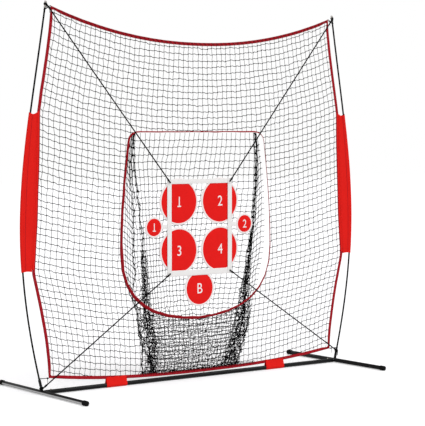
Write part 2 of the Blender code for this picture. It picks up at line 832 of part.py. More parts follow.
def add_bungees():
    socket = ROD_RADIUS + SOCKET_CLEARANCE + SOCKET_WALL
    lean = Vector((POLE_FOOT_LEAN, 1)).normalized()
    top = POLE_HEIGHT - BUNGEE_TIP_DROP
    for side, sign in SIDES:
        high = Vector((sign * pole_x(top), 0, top))
        high.y = -(tip_radius() + SEW_GAP + BUNGEE_RADIUS)
        tied = lean * BUNGEE_FOOT[side]
        low = Vector((sign * (FOOT_X + tied.x), 0, AXIS_HEIGHT + tied.y))
        low.y = -(socket + SEW_GAP + BUNGEE_RADIUS)
        for level, start, way in (("top", high, 1), ("bottom", low, -1)):
            end = zone_corner(sign, way)
            path = [start.lerp(end, i / 4) for i in range(5)]
            wire(f"bungee_{level}_{side}", path, BUNGEE_RADIUS, CORD)


# ---------------------------------------------------------------- strike zone


def zone_layers():
    """The y of the webbing's front layer, back layer and the discs, front to back."""
    front = -ZONE_FRONT
    behind = front + WEB_THICKNESS + GAP
    discs = behind + WEB_THICKNESS + SEW_GAP
    return front, behind, discs


def add_zone(anchor):
    front, behind, _ = zone_layers()
    half_width, half_height = ZONE_WIDTH / 2, ZONE_HEIGHT / 2
    low, high = ZONE_CENTRE - half_height, ZONE_CENTRE + half_height
    for side, sign in SIDES:
        ends = sorted((sign * half_width, sign * (half_width - SIDE_WEB)))
        hang(box(
            f"zone_web_{side}", (ends[0], front, low),
            (ends[1], front + WEB_THICKNESS, high), WHITE_WEB,
        ), anchor)
    for level, bottom, top in (("top", high - TOP_WEB, high), ("bottom", low, low + BOTTOM_WEB)):
        hang(box(
            f"zone_web_{level}", (-half_width, behind, bottom),
            (half_width, behind + WEB_THICKNESS, top), WHITE_WEB,
        ), anchor)


def disc(name, x, z, front, radius):
    sides = DISC_SIDES if radius > 0.1 else SMALL_SIDES + 8
    return cylinder(
        name, (x, front, z), (x, front + DISC_THICKNESS, z), radius, sides, RED_PAD
    )


def add_large_discs(anchor):
    front = zone_layers()[2]
    across = DISC_RADIUS + DISC_SPACE / 2
    up = DISC_RADIUS + DISC_ROW_SPACE / 2
    for level, way in LEVELS:
        for side, sign in SIDES:
            target = disc(
                f"target_disc_{level}_{side}", sign * across, DISC_CENTRE + way * up,
                front, DISC_RADIUS,
            )
            hang(target, anchor)


def add_low_disc():
    """The disc that hangs below the webbing, pivoting at its own top edge."""
    front = zone_layers()[2]
    top = ZONE_CENTRE - ZONE_HEIGHT / 2 + LOW_DISC_TUCK
    target = disc("low_target_disc", 0, top - LOW_DISC_RADIUS, front, LOW_DISC_RADIUS)
    hang(target, joint_empty("low_target_axis", (0, front, top)))


def add_small_disc(side, sign):
    """A small disc on a short strap beside the webbing, pivoting at the webbing's edge."""
    behind = zone_layers()[1]
    edge = ZONE_WIDTH / 2 + SEW_GAP
    reach = ZONE_WIDTH / 2 + SMALL_DISC_REACH
    axis = joint_empty(
        f"side_target_axis_{side}",
        (sign * (ZONE_WIDTH / 2 + GAP), behind + WEB_THICKNESS / 2, DISC_CENTRE),
    )
    ends = sorted((sign * edge, sign * (reach - GAP)))
    half = SMALL_STRAP_WIDTH / 2
    strap = box(
        f"side_target_strap_{side}", (ends[0], behind, DISC_CENTRE - half),
        (ends[1], behind + WEB_THICKNESS, DISC_CENTRE + half), WHITE_WEB,
    )
    hang(strap, axis)
    centre = sign * (reach + SMALL_DISC_RADIUS)
    front = behind + (WEB_THICKNESS - DISC_THICKNESS) / 2
    target = disc(f"side_target_disc_{side}", centre, DISC_CENTRE, front, SMALL_DISC_RADIUS)
    hang(target, axis)


def add_strike_zone():
    anchor = joint_empty("strike_zone_axis", (0, 0, ZONE_CENTRE))
    add_zone(anchor)
    add_large_discs(anchor)
    add_low_disc()
    for side, sign in SIDES:
        add_small_disc(side, sign)


def build():
    add_crossbar()
    for side, sign in SIDES:
        add_foot(side, sign)
        add_pole(side, sign)
        add_sleeve(side, sign)
        add_bar_strap(side, sign)
    add_net()
    add_rim()
    add_pocket()
    add_loops()
    add_bungees()
    add_strike_zone()


build()
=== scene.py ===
"""Pitching target net: the looks built round the fixed frame.

A bowed-rod stand holds a knotted net with a ball pocket, and four elastic cords hold a
strike zone of white webbing and red padded discs in front of it. Lengths are in metres.
"""

import json
import math

import bpy
import numpy as np
from bpy.props import FloatProperty, FloatVectorProperty, IntProperty, PointerProperty
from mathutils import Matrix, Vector
from mathutils.bvhtree import BVHTree

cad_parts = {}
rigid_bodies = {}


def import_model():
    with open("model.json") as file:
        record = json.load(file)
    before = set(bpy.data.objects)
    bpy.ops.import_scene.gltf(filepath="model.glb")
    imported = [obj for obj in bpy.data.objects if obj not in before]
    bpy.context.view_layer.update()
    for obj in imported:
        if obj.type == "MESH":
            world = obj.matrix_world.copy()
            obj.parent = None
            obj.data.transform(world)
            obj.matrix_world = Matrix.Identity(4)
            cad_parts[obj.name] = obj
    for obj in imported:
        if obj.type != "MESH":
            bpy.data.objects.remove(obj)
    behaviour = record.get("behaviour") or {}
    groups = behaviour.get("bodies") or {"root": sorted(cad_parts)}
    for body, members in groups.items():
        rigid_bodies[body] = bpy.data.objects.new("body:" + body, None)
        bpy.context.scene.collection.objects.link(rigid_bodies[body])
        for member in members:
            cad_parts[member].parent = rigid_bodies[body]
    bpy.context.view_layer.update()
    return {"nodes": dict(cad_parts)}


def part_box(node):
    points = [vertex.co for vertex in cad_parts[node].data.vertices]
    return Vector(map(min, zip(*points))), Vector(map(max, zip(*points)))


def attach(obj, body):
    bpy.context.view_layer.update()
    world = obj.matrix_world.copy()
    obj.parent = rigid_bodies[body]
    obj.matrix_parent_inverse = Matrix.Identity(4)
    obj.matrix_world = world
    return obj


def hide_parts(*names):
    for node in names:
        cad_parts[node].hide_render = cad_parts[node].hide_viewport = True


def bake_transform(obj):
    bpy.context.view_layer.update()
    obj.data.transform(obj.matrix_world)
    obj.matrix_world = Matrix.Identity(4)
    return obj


bl_info = {
    "name": "Pitching target net",
    "version": (1, 0, 0),
    "blender": (4, 5, 0),
    "location": "View3D > Sidebar > Target net",
    "description": "Builds the looks of a pitching target net round its frame",
    "category": "Object",
}

for leftover in list(bpy.data.objects):
    bpy.data.objects.remove(leftover, do_unlink=True)

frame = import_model()

SIDES = (("left", -1), ("right", 1))
LEVELS = (("top", 1), ("bottom", -1))
SEED = 7


# ---------------------------------------------------------------- reading the frame


def linear(hex_colour):
    """An sRGB hex colour as linear red, green and blue."""
    found = []
    for i in (1, 3, 5):
        c = int(hex_colour[i : i + 2], 16) / 255
        found.append(c / 12.92 if c <= 0.04045 else ((c + 0.055) / 1.055) ** 2.4)
    return tuple(found)


def node_points(name):
    return np.array([v.co for v in frame["nodes"][name].data.vertices])


TREES = {}


def probe(name, start, direction):
    """Where a line from start first meets a node of the frame."""
    if name not in TREES:
        mesh = frame["nodes"][name].data
        TREES[name] = BVHTree.FromPolygons(
            [v.co for v in mesh.vertices], [tuple(p.vertices) for p in mesh.polygons]
        )
    hit = TREES[name].ray_cast(Vector(start), Vector(direction))[0]
    if hit is None:
        raise RuntimeError(f"no part of {name} lies along {direction} from {start}")
    return hit


def centre_line(name, axis, gap=0.004):
    """The middle of each ring of points of a tube, in order along an axis."""
    points = node_points(name)
    points = points[np.argsort(points[:, axis])]
    breaks = np.where(np.diff(points[:, axis]) > gap)[0] + 1
    return [np.unique(ring.round(6), axis=0).mean(0) for ring in np.split(points, breaks)]


def edge_reader(name, across, along, start, way, low, high, margin=0.012, count=40):
    """A function that gives where one edge of a tape lies at any place along it."""
    places = np.linspace(low + margin, high - margin, count)
    found = []
    for place in places:
        origin, direction = [0, 0, 0], [0, 0, 0]
        origin[along], origin[across] = place, start
        direction[across] = way
        found.append(probe(name, origin, direction)[across])
    slopes = (
        (found[1] - found[0]) / (places[1] - places[0]),
        (found[-1] - found[-2]) / (places[-1] - places[-2]),
    )

    def edge(place):
        place = np.asarray(place, float)
        inside = np.interp(place, places, found)
        before = np.minimum(place - places[0], 0) * slopes[0]
        after = np.maximum(place - places[-1], 0) * slopes[1]
        return inside + before + after

    return edge


def tape_edges(name, across, along, start):
    """The edge of a tape that faces start, and the far edge, as functions of place."""
    low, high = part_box(name)
    way = 1 if low[across] > start else -1
    near = edge_reader(name, across, along, start, way, low[along], high[along])
    far = edge_reader(name, across, along, start + way * 4, -way, low[along], high[along])
    return near, far


SIDE_NEAR, SIDE_FAR = tape_edges("border_tape_right", 0, 2, 0)
TOP_NEAR, TOP_FAR = tape_edges("border_tape_top", 2, 0, 1.6)
BOTTOM_NEAR, BOTTOM_FAR = tape_edges("border_tape_bottom", 2, 0, 1.0)
RIM_LOW, RIM_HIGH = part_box("opening_rim")
RIM_CENTRE = (RIM_LOW + RIM_HIGH) / 2
RIM_STEPS = 240


def rim_reach():
    """The rim's inner and outer distance from its centre, at even angles."""
    found = []
    for i in range(RIM_STEPS):
        angle = 2 * math.pi * i / RIM_STEPS
        way = Vector((math.cos(angle), 0, math.sin(angle)))
        inner = probe("opening_rim", RIM_CENTRE, way)
        outer = probe("opening_rim", RIM_CENTRE + way * 2, -way)
        found.append(((inner - RIM_CENTRE).length, (outer - RIM_CENTRE).length))
    return np.array(found)


RIM_REACH = rim_reach()


def rim_distance(x, z, share):
    """How far points lie outside the rim, measured at a share of its width."""
    angle = np.arctan2(z - RIM_CENTRE.z, x - RIM_CENTRE.x) % (2 * math.pi)
    reach = RIM_REACH[:, 0] + (RIM_REACH[:, 1] - RIM_REACH[:, 0]) * share
    turns = np.append(reach, reach[0])
    limit = np.interp(angle, np.linspace(0, 2 * math.pi, RIM_STEPS + 1), turns)
    return np.hypot(x - RIM_CENTRE.x, z - RIM_CENTRE.z) - limit


# ---------------------------------------------------------------- mesh builders

SHARP_ANGLE = math.radians(50)


class Builder:
    """Gathers points and faces of many small shapes for one mesh."""

    def __init__(self):
        self.points, self.faces, self.which, self.uv, self.count = [], [], [], [], 0

    def add(self, points, faces, which=0, uv=None):
        points = np.asarray(points, float).reshape(-1, 3)
        self.points.append(points)
        self.uv.append(np.zeros((len(points), 2)) if uv is None else np.asarray(uv, float))
        self.faces += [tuple(int(i) + self.count for i in face) for face in faces]
        self.which += [which] * len(faces)
        self.count += len(points)

    def grid(self, rows, closed=False, capped=False, which=0, uv=None):
        """A skin over rows of points. closed joins each row's ends."""
        rows = np.asarray(rows, float)
        height, width = rows.shape[:2]
        faces = []
        last = width if closed else width - 1
        for i in range(height - 1):
            for j in range(last):
                k = (j + 1) % width
                faces.append((i * width + j, i * width + k, (i + 1) * width + k, (i + 1) * width + j))
        if capped:
            faces.append(tuple(range(width))[::-1])
            faces.append(tuple((height - 1) * width + j for j in range(width)))
        self.add(rows.reshape(-1, 3), faces, which, uv)

    def tube(self, path, radius, sides=6, capped=True):
        """A round bar along a path. radius may be one value for each point."""
        self.grid(tube_rows(path, radius, sides), closed=True, capped=capped)

    def piece(self, name, finishes, body, slot, replaces=(), with_uv=False):
        """The mesh, which rides on a body and stands for the frame's nodes named."""
        mesh = bpy.data.meshes.new(name)
        mesh.from_pydata([tuple(p) for p in np.concatenate(self.points)], [], self.faces)
        if with_uv:
            layer = mesh.uv_layers.new(name="Weave")
            corners = np.empty(len(mesh.loops), np.int32)
            mesh.loops.foreach_get("vertex_index", corners)
            layer.data.foreach_set("uv", np.concatenate(self.uv).astype(np.float32)[corners].ravel())
        for finish in finishes.split():
            mesh.materials.append(MATERIALS[finish])
        mesh.polygons.foreach_set("material_index", np.asarray(self.which, np.int32))
        mesh.shade_smooth()
        mesh.set_sharp_from_angle(angle=SHARP_ANGLE)
        mesh.validate()
        obj = bpy.data.objects.new(name, mesh)
        bpy.context.scene.collection.objects.link(obj)
        if body:
            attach(obj, body)
        if replaces:
            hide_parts(*replaces)
        return obj


def unit(ways):
    """Directions scaled to a length of one."""
    return ways / np.maximum(np.linalg.norm(ways, axis=-1, keepdims=True), 1e-12)


def turns_of(sides):
    """Cosine and sine at even turns round a circle."""
    turn = np.arange(sides) * 2 * math.pi / sides
    return np.cos(turn)[:, None], np.sin(turn)[:, None]


def tube_rows(path, radius, sides):
    path = np.asarray(path, float)
    ways = unit(np.gradient(path, axis=0))
    guide = np.array((0.0, 1.0, 0.0))
    if abs(ways @ guide).max() > 0.9:
        guide = np.array((0.31, 0.0, 0.95)) if abs(ways[:, 1]).min() > 0.5 else np.array((0.2, 0.3, 0.93))
    first = unit(np.cross(ways, guide))
    second = np.cross(ways, first)
    radius = np.broadcast_to(np.asarray(radius, float), (len(path),))[:, None, None]
    cos, sin = turns_of(sides)
    return path[:, None] + radius * (cos * first[:, None] + sin * second[:, None])


def band(outer, inner, profile, across=(0, 1, 0)):
    """Rows for a strip between two edges. The profile is pairs of share and height."""
    outer, inner = np.asarray(outer, float), np.asarray(inner, float)
    shares = np.array([p[0] for p in profile])[None, :, None]
    heights = np.array([p[1] for p in profile])[None, :, None]
    return outer[:, None] + (inner - outer)[:, None] * shares + heights * np.array(across, float)


def along_length(points):
    steps = np.linalg.norm(np.diff(np.asarray(points, float), axis=0), axis=1)
    return np.concatenate([[0], np.cumsum(steps)])


def spaced(points, step):
    """Points at even steps along a path, and the direction at each."""
    points = np.asarray(points, float)
    length = along_length(points)
    count = max(int(length[-1] / step), 1)
    places = (np.arange(count) + 0.5) * length[-1] / count

    def shifted(ahead):
        return np.stack([np.interp(places + ahead, length, points[:, i]) for i in range(3)], 1)

    return shifted(0.0), unit(shifted(step / 4) - shifted(-step / 4))


def sew(builder, path, normal, sizes, which=0, lift=0.0004):
    """A row of stitches along a path, each a short raised thread."""
    normal = np.asarray(normal, float)
    places, ways = spaced(path, sizes.stitch_step)
    for place, way in zip(places, ways):
        side = np.cross(way, normal)
        half, wide = sizes.stitch_length / 2, sizes.thread / 2
        low, high = place - normal * lift, place + normal * lift
        points = [
            low - way * half, low - side * wide, low + side * wide, low + way * half,
            high - way * half * 0.4, high + way * half * 0.4,
        ]
        faces = [(0, 1, 4), (0, 4, 2), (1, 5, 4), (1, 3, 5), (4, 5, 2), (5, 3, 2), (0, 2, 3, 1)]
        builder.add(points, faces, which)


def smooth_noise(count, rng, spacing):
    """A slow random wave with values about -1 to 1."""
    knots = rng.uniform(-1, 1, max(int(count / spacing), 2) + 2)
    places = np.linspace(0, len(knots) - 1.001, count)
    low = places.astype(int)
    share = places - low
    share = share * share * (3 - 2 * share)
    return knots[low] * (1 - share) + knots[low + 1] * share


# ---------------------------------------------------------------- materials


def add(tree, kind, settings=None, **links):
    """One shader node, with its settings and what feeds its sockets."""
    made = tree.nodes.new("ShaderNode" + kind)
    for name, value in (settings or {}).items():
        if name in made.inputs:
            made.inputs[name].default_value = value
        else:
            setattr(made, name, value)
    for name, source in links.items():
        tree.links.new(source, made.inputs[name.replace("_", " ")])
    return made


# Dull cloth, twine and coats return little of a white sky, so their gloss is turned down.
MATT = 0.10
# The scale of a wave texture that gives one straight band in each unit.
ONE_BAND = 0.314
EVEN = (1, 1, 1)


def new_material(name, **sockets):
    """A material with its shader's own values set. Gives its tree and its shader."""
    material = bpy.data.materials.new(name)
    material.use_nodes = True
    tree = material.node_tree
    shader = tree.nodes["Principled BSDF"]
    shader.inputs["Specular IOR Level"].default_value = 0.5 if "Metallic" in sockets else MATT
    for socket, value in sockets.items():
        shader.inputs[socket.replace("_", " ")].default_value = value
    return material, tree, shader


def rgba(colour, share=1.0):
    return (*(c * share for c in colour), 1.0)


def place_in(tree, scale):
    """The piece's own coordinates, scaled so that one unit is one pattern repeat."""
    coords = add(tree, "TexCoord")
    return add(tree, "Mapping", {"Scale": scale}, Vector=coords.outputs["Object"]).outputs[0]


def repeated(tree, weave, size):
    """The woven strip's own measure, with one unit to each repeat of a size."""
    return add(tree, "Mapping", {"Scale": (1 / size, 1 / size, 1)}, Vector=weave).outputs[0]


def blotched(tree, shader, colour, dark, scale):
    """Colour that wanders a little between two shades, as dye and dirt do."""
    noise = add(tree, "TexNoise", {"Scale": scale, "Detail": 3.0}, Vector=place_in(tree, EVEN))
    shades = {"Color1": rgba(colour, dark), "Color2": rgba(colour)}
    mix = add(tree, "MixRGB", shades, Fac=noise.outputs["Fac"])
    tree.links.new(mix.outputs[0], shader.inputs["Base Color"])
    return mix.outputs[0]


def darkened(tree, source, shade, share):
    """Colour multiplied by a shade where a pattern is high."""
    settings = {"blend_type": "MULTIPLY", "Color2": (*shade, 1)}
    return add(tree, "MixRGB", settings, Color1=source, Fac=share).outputs[0]


def relief(tree, shader, height, strength, depth):
    """Fine relief where a pattern is high."""
    bump = add(tree, "Bump", {"Strength": strength, "Distance": depth}, Height=height)
    tree.links.new(bump.outputs[0], shader.inputs["Normal"])


def grain(tree, shader, kind, settings, repeat, strength, depth):
    """Fine relief from a texture laid in the piece's own coordinates."""
    texture = add(tree, kind, settings, Vector=place_in(tree, repeat))
    height = texture.outputs["Distance" if kind == "TexVoronoi" else "Fac"]
    relief(tree, shader, height, strength, depth)


def twine_material(c):
    """Polyester twine, twisted and dipped in black: dull, with paler worn strands."""
    material, tree, shader = new_material("twisted_dipped_polyester_twine", Roughness=0.82)
    blotched(tree, shader, c.netting, 0.55, 60)
    # The strands' twist repeats every 16 mm along an upright or level twine.
    twist = {"Scale": 1.0, "Distortion": 1.5, "bands_direction": "DIAGONAL"}
    grain(tree, shader, "TexWave", twist, (40, 40, 40), 0.5, 0.0004)
    return material


def woven_material(name, colour, dark, roughness, sheen, stripe, thread=0.0011, contrast=0.5):
    """Woven strap or cloth: ribs across it, a soft sheen and shade between the ribs.

    stripe is half the distance from one slanting bar to the next along the strap, and 0
    leaves the bars out.
    """
    material, tree, shader = new_material(
        name, Roughness=roughness, Sheen_Weight=sheen, Sheen_Roughness=0.5
    )
    source = blotched(tree, shader, colour, dark, 9)
    weave = add(tree, "UVMap", {"uv_map": "Weave"}).outputs[0]
    if stripe:
        # Whipping thread crosses the strap on a slant, so it reads as slanting bars.
        slant = {"Scale": ONE_BAND, "Distortion": 0.6, "bands_direction": "DIAGONAL"}
        bars = add(tree, "TexWave", slant, Vector=repeated(tree, weave, stripe))
        source = darkened(tree, source, (0.50, 0.40, 0.40), bars.outputs["Fac"])
    ribs = repeated(tree, weave, thread)
    cross = add(tree, "Math", {"operation": "MULTIPLY"})
    for i, way in enumerate("XY"):
        rib = add(tree, "TexWave", {"Scale": ONE_BAND, "bands_direction": way}, Vector=ribs)
        tree.links.new(rib.outputs["Fac"], cross.inputs[i])
    groove = darkened(tree, source, (0.82, 0.82, 0.82), cross.outputs[0])
    tree.links.new(groove, shader.inputs["Base Color"])
    relief(tree, shader, cross.outputs[0], contrast, 0.0003)
    return material


def vinyl_material(c):
    """Calendered vinyl over foam: even red, a fine leather grain and soft gloss."""
    material, tree, shader = new_material("calendered_pvc_vinyl", Roughness=0.55, IOR=1.52)
    blotched(tree, shader, c.disc, 0.9, 14)
    # The embossed grain's cells are 1.2 mm across.
    grain(tree, shader, "TexVoronoi", {"Scale": 830.0}, EVEN, 0.25, 0.0002)
    return material


def ink_material(c):
    """Screen-printed ink: flat white, a little uneven where it soaked in."""
    material, tree, shader = new_material("screen_printed_ink", Roughness=0.55, IOR=1.5)
    blotched(tree, shader, c.ink, 0.93, 120)
    return material


def coated_steel_material(name, colour, roughness, painted_reflection=None):
    """Powder-coated steel tube: satin black with a fine orange-peel texture.

    The optional pale grey is a painted reflection: faces that turn downwards are mixed towards it, standing
    in for the white floor mirrored in the tube's underside.
    """
    material, tree, shader = new_material(name, Roughness=roughness, IOR=1.5, Specular_IOR_Level=0.2)
    coat = blotched(tree, shader, colour, 0.7, 25)
    # Painted reflection of the white floor on faces whose normals point downwards.
    if painted_reflection:
        normal = add(tree, "NewGeometry")
        split = add(tree, "SeparateXYZ", Vector=normal.outputs["Normal"])
        falling = {"From Min": 0.30, "From Max": 0.05, "To Min": 0.0, "To Max": 1.0}
        share = add(tree, "MapRange", falling, Value=split.outputs["Z"])
        both = add(tree, "MixRGB", {"Color2": rgba(painted_reflection)}, Color1=coat, Fac=share.outputs[0])
        tree.links.new(both.outputs[0], shader.inputs["Base Color"])
    # Orange peel in powder coat is about 1.5 mm across.
    grain(tree, shader, "TexNoise", {"Scale": 650.0, "Detail": 1.0}, EVEN, 0.15, 0.0002)
    return material


def metal_material(name, colour, roughness, scratch):
    """Bare or plated metal: fine draw lines along it catch the light."""
    material, tree, shader = new_material(name, Metallic=1.0, Roughness=roughness)
    blotched(tree, shader, colour, 0.8, 40)
    # Draw lines are 1 to 2 mm apart across the part and long along it.
    grain(tree, shader, "TexNoise", {"Scale": 1.0, "Detail": 2.0}, scratch, 0.2, 0.0001)
    return material


def rod_material(c):
    """Pultruded glass-fibre rod: black resin, glossy, with fibres along it."""
    material, tree, shader = new_material("pultruded_glass_fibre_rod", Roughness=0.45, IOR=1.52)
    blotched(tree, shader, c.rod, 0.6, 18)
    grain(tree, shader, "TexNoise", {"Scale": 1.0, "Detail": 2.0}, (900, 900, 25), 0.2, 0.0002)
    return material


def rubber_material(c):
    """Moulded rubber: matt black, greyed by dust in its pores."""
    material, tree, shader = new_material("moulded_rubber", Roughness=0.75, IOR=1.52)
    blotched(tree, shader, c.rubber, 0.6, 90)
    grain(tree, shader, "TexNoise", {"Scale": 900.0}, EVEN, 0.3, 0.0002)
    return material


def cord_material(c):
    """Braided nylon cover over elastic: black, with a diamond braid."""
    material, tree, shader = new_material("braided_nylon_cover", Roughness=0.7)
    blotched(tree, shader, c.cord, 0.6, 80)
    # One diamond of the braid is 1.6 mm.
    braid = {"Scale": 620.0, "distance": "MANHATTAN"}
    grain(tree, shader, "TexVoronoi", braid, EVEN, 0.6, 0.0004)
    return material


MATERIALS = {}


def make_materials(c):
    """Every finish on the object, by the name its pieces use."""
    MATERIALS.update(
        twine=twine_material(c),
        border=woven_material("woven_polypropylene_tape", c.border, 0.75, 0.62, 0.02, 0.0),
        whipped=woven_material("thread_whipped_tape", c.border, 0.80, 0.62, 0.02, 0.016),
        rim=woven_material("woven_rim_tape", c.rim, 0.75, 0.62, 0.02, 0.0),
        sleeve=woven_material("woven_polyester_oxford", c.sleeve, 0.93, 0.6, 0.02, 0.0, 0.0014, 0.3),
        webbing=woven_material("woven_white_webbing", c.webbing, 0.93, 0.7, 0.02, 0.0, 0.0018),
        binding=woven_material("folded_bias_binding", c.binding, 0.95, 0.65, 0.02, 0.0, 0.0012),
        thread_red=woven_material("spun_red_thread", c.border, 0.5, 0.6, 0.02, 0.0),
        thread_white=woven_material("spun_white_thread", c.webbing, 0.7, 0.6, 0.02, 0.0),
        vinyl=vinyl_material(c),
        ink=ink_material(c),
        cord=cord_material(c),
        rod=rod_material(c),
        rubber=rubber_material(c),
        bar=coated_steel_material("powder_coated_steel_bar", c.steel, 0.42),
        # The foot's coat carries a painted reflection of the floor on its underside.
        foot=coated_steel_material("powder_coated_steel_foot_painted_reflection", c.steel, 0.4, painted_reflection=c.painted_floor_reflection),
        aluminium=metal_material("anodised_aluminium", c.aluminium, 0.4, (900, 900, 30)),
        brass=metal_material("nickel_plated_brass", c.brass, 0.25, (500, 500, 500)),
        zinc=metal_material("zinc_plated_steel", c.zinc, 0.4, (30, 900, 900)),
        spring=metal_material("rolled_spring_steel", c.spring, 0.3, (60, 900, 900)),
    )


# ---------------------------------------------------------------- settings


def length(name, description, default):
    return FloatProperty(
        name=name, description=description, default=default, unit="LENGTH", precision=4
    )


def number(name, description, default, **more):
    return FloatProperty(name=name, description=description, default=default, **more)


def colour(name, description, hex_colour):
    return FloatVectorProperty(
        name=name, description=description, default=linear(hex_colour), subtype="COLOR", size=3,
        min=0, max=1,
    )


class NetSizes(bpy.types.PropertyGroup):
    """Sizes of the netting."""

    cell: length("Cell", "Distance between knots", 0.0385)
    upright: length("Upright twine", "Radius of the twine that runs up the net", 0.0015)
    level: length("Level twine", "Radius of the twine that runs across the net", 0.0019)
    knot: length("Knot", "Half the width of a knot", 0.0041)
    slack: length("Slack", "How far knots stray from an even net", 0.0022)
    sag: length("Sag", "How far the middle of a row of knots hangs below its ends", 0.180)
    low_sag: length("Lower sag", "The same, at the bottom of the net", 0.120)
    strands: IntProperty(
        name="Gathered strands", description="Strands bunched at each side of the pocket", default=15
    )


class ClothSizes(bpy.types.PropertyGroup):
    """Sizes of tapes, straps, sleeves and discs."""

    stitch_step: length("Stitch step", "Distance from one stitch to the next", 0.0055)
    stitch_length: length("Stitch length", "Length of thread that shows", 0.0038)
    thread: length("Thread", "Width of the sewing thread", 0.0009)
    wrinkle: length("Wrinkle", "Depth of the creases in the sleeves", 0.0022)
    binding: length("Binding", "Width of the white edge of a disc", 0.0125)
    crown: length("Crown", "How far a disc swells at its middle", 0.0016)
    numeral: length("Numeral", "Height of the numbers on the large discs", 0.062)
    small_numeral: length("Small numeral", "Height of the numbers on the small discs", 0.050)


class Finishes(bpy.types.PropertyGroup):
    """Colours of the object's finishes."""

    netting: colour("Netting", "Dipped twine", "#08090A")
    border: colour("Border tape", "Tape round the net", "#B01322")
    rim: colour("Rim tape", "Tape round the opening", "#AE1522")
    sleeve: colour("Sleeve", "Cloth of the sleeves and bar straps", "#EC1A12")
    webbing: colour("Webbing", "Strike zone webbing", "#FAF8F6")
    binding: colour("Binding", "Edge binding of the discs", "#FFF7F6")
    disc: colour("Disc", "Vinyl of the discs", "#EE1815")
    ink: colour("Ink", "Printed numbers", "#FBF6F5")
    cord: colour("Cord", "Elastic cord and corner loops", "#030303")
    rod: colour("Rod", "Glass-fibre rods", "#040404")
    rubber: colour("Rubber", "End caps", "#141414")
    steel: colour("Steel", "Coated tubes", "#0E0F10")
    # Painted reflection: the pale grey stands for the white floor mirrored in the feet's underside, not for
    # a thinner coat.
    painted_floor_reflection: colour("Foot underside", "Thin coat under the feet", "#C4C4C4")
    aluminium: colour("Aluminium", "Ferrules and rod tips", "#C9C4BF")
    brass: colour("Brass", "Plated snap buttons", "#C8C2B4")
    zinc: colour("Zinc", "Plated spigots and splice", "#A9ABAD")
    spring: colour("Spring", "Button springs", "#8D9094")


class StageSizes(bpy.types.PropertyGroup):
    """The floor, the lights and the camera."""

    camera: FloatVectorProperty(
        name="Camera", description="Where the camera stands", default=(-5.934, -8.113, 1.545),
        subtype="TRANSLATION", unit="LENGTH",
    )
    heading: number(
        "Heading", "Camera's turn from straight ahead", math.radians(-36.694), subtype="ANGLE"
    )
    dip: number("Dip", "How far the camera looks down", math.radians(3.017), subtype="ANGLE")
    lens: number("Lens", "Focal length in millimetres", 138.7)
    floor: length("Floor", "Side of the floor", 60.0)
    sky: number("Sky", "Strength of the even light all round", 0.55)
    key: number("Key", "Strength of the main lamp", 1.3)
    glow: number("Glow", "How far the floor is lifted to white", 0.36)


class TargetNetSettings(bpy.types.PropertyGroup):
    """All that a user may change."""

    net: PointerProperty(type=NetSizes)
    cloth: PointerProperty(type=ClothSizes)
    finish: PointerProperty(type=Finishes)
    stage: PointerProperty(type=StageSizes)


def settings():
    return bpy.context.scene.target_net


# ---------------------------------------------------------------- netting


def clip(line, keep):
    """The runs of a line of points for which keep is above zero, cut to end at zero."""
    values = keep(line[:, 0], line[:, 2])
    runs, run = [], []
    for i in range(len(line)):
        if i and (values[i] > 0) != (values[i - 1] > 0):
            share = values[i - 1] / (values[i - 1] - values[i])
            crossing = line[i - 1] + (line[i] - line[i - 1]) * share
            run.append(crossing)
            if values[i] <= 0:
                runs.append(np.array(run))
                run = []
        if values[i] > 0:
            run.append(line[i])
    if run:
        runs.append(np.array(run))
    return [r for r in runs if len(r) > 1 and along_length(r)[-1] > 0.004]


def between(knots, bends, rng, size):
    """The path of one twine through its knots, bending a little between them."""
    parts = []
    for i in range(len(knots) - 1):
        start, end = knots[i], knots[i + 1]
        parts.append(start)
        for share, bend in bends:
            wander = rng.normal(0, size * 0.25, 3) * (1, 0.5, 1)
            parts.append(start + (end - start) * share + np.array(bend) * size + wander)
    parts.append(knots[-1])
    return np.array(parts)


LEVEL_BENDS = ((0.3, (0, 0, 0.9)), (0.7, (0, 0, -0.9)))
UPRIGHT_BENDS = ((0.33, (0.35, 0, 0)), (0.67, (-0.35, 0, 0)))

KNOT_POINTS = np.array(
    [
        (0, 0, 1.15), (0.75, -0.3, 0.55), (0.1, -0.95, 0.5), (-0.85, -0.1, 0.45), (0.0, 0.8, 0.55),
        (0.95, 0.15, -0.35), (0.35, -1.0, -0.45), (-0.75, -0.45, -0.5), (-0.3, 0.85, -0.4), (0, 0, -1.15),
    ]
)
KNOT_FACES = (
    (0, 2, 1), (0, 3, 2), (0, 4, 3), (0, 1, 4), (1, 2, 6, 5), (2, 3, 7, 6), (3, 4, 8, 7),
    (4, 1, 5, 8), (9, 5, 6), (9, 6, 7), (9, 7, 8), (9, 8, 5),
)


def tie_knots(builder, places, size, rng):
    """A lump of wrapped twine at each place, each one turned and sized a little apart."""
    for place in places:
        turn = rng.uniform(-0.6, 0.6)
        c, s = math.cos(turn), math.sin(turn)
        scale = size * rng.uniform(0.85, 1.15, 3) * (1.0, 0.75, 0.95)
        x, y, z = (KNOT_POINTS * scale).T
        builder.add(np.stack([x * c - z * s, y, x * s + z * c], 1) + place, KNOT_FACES)


def front_region(x, z):
    """Above zero inside the border tapes and outside the rim."""
    top = TOP_NEAR(x) - z
    bottom = z - BOTTOM_NEAR(x)
    side = SIDE_NEAR(z) - abs(x)
    return np.minimum(np.minimum(top, bottom), np.minimum(side, rim_distance(x, z, 0.6))) + 0.0015


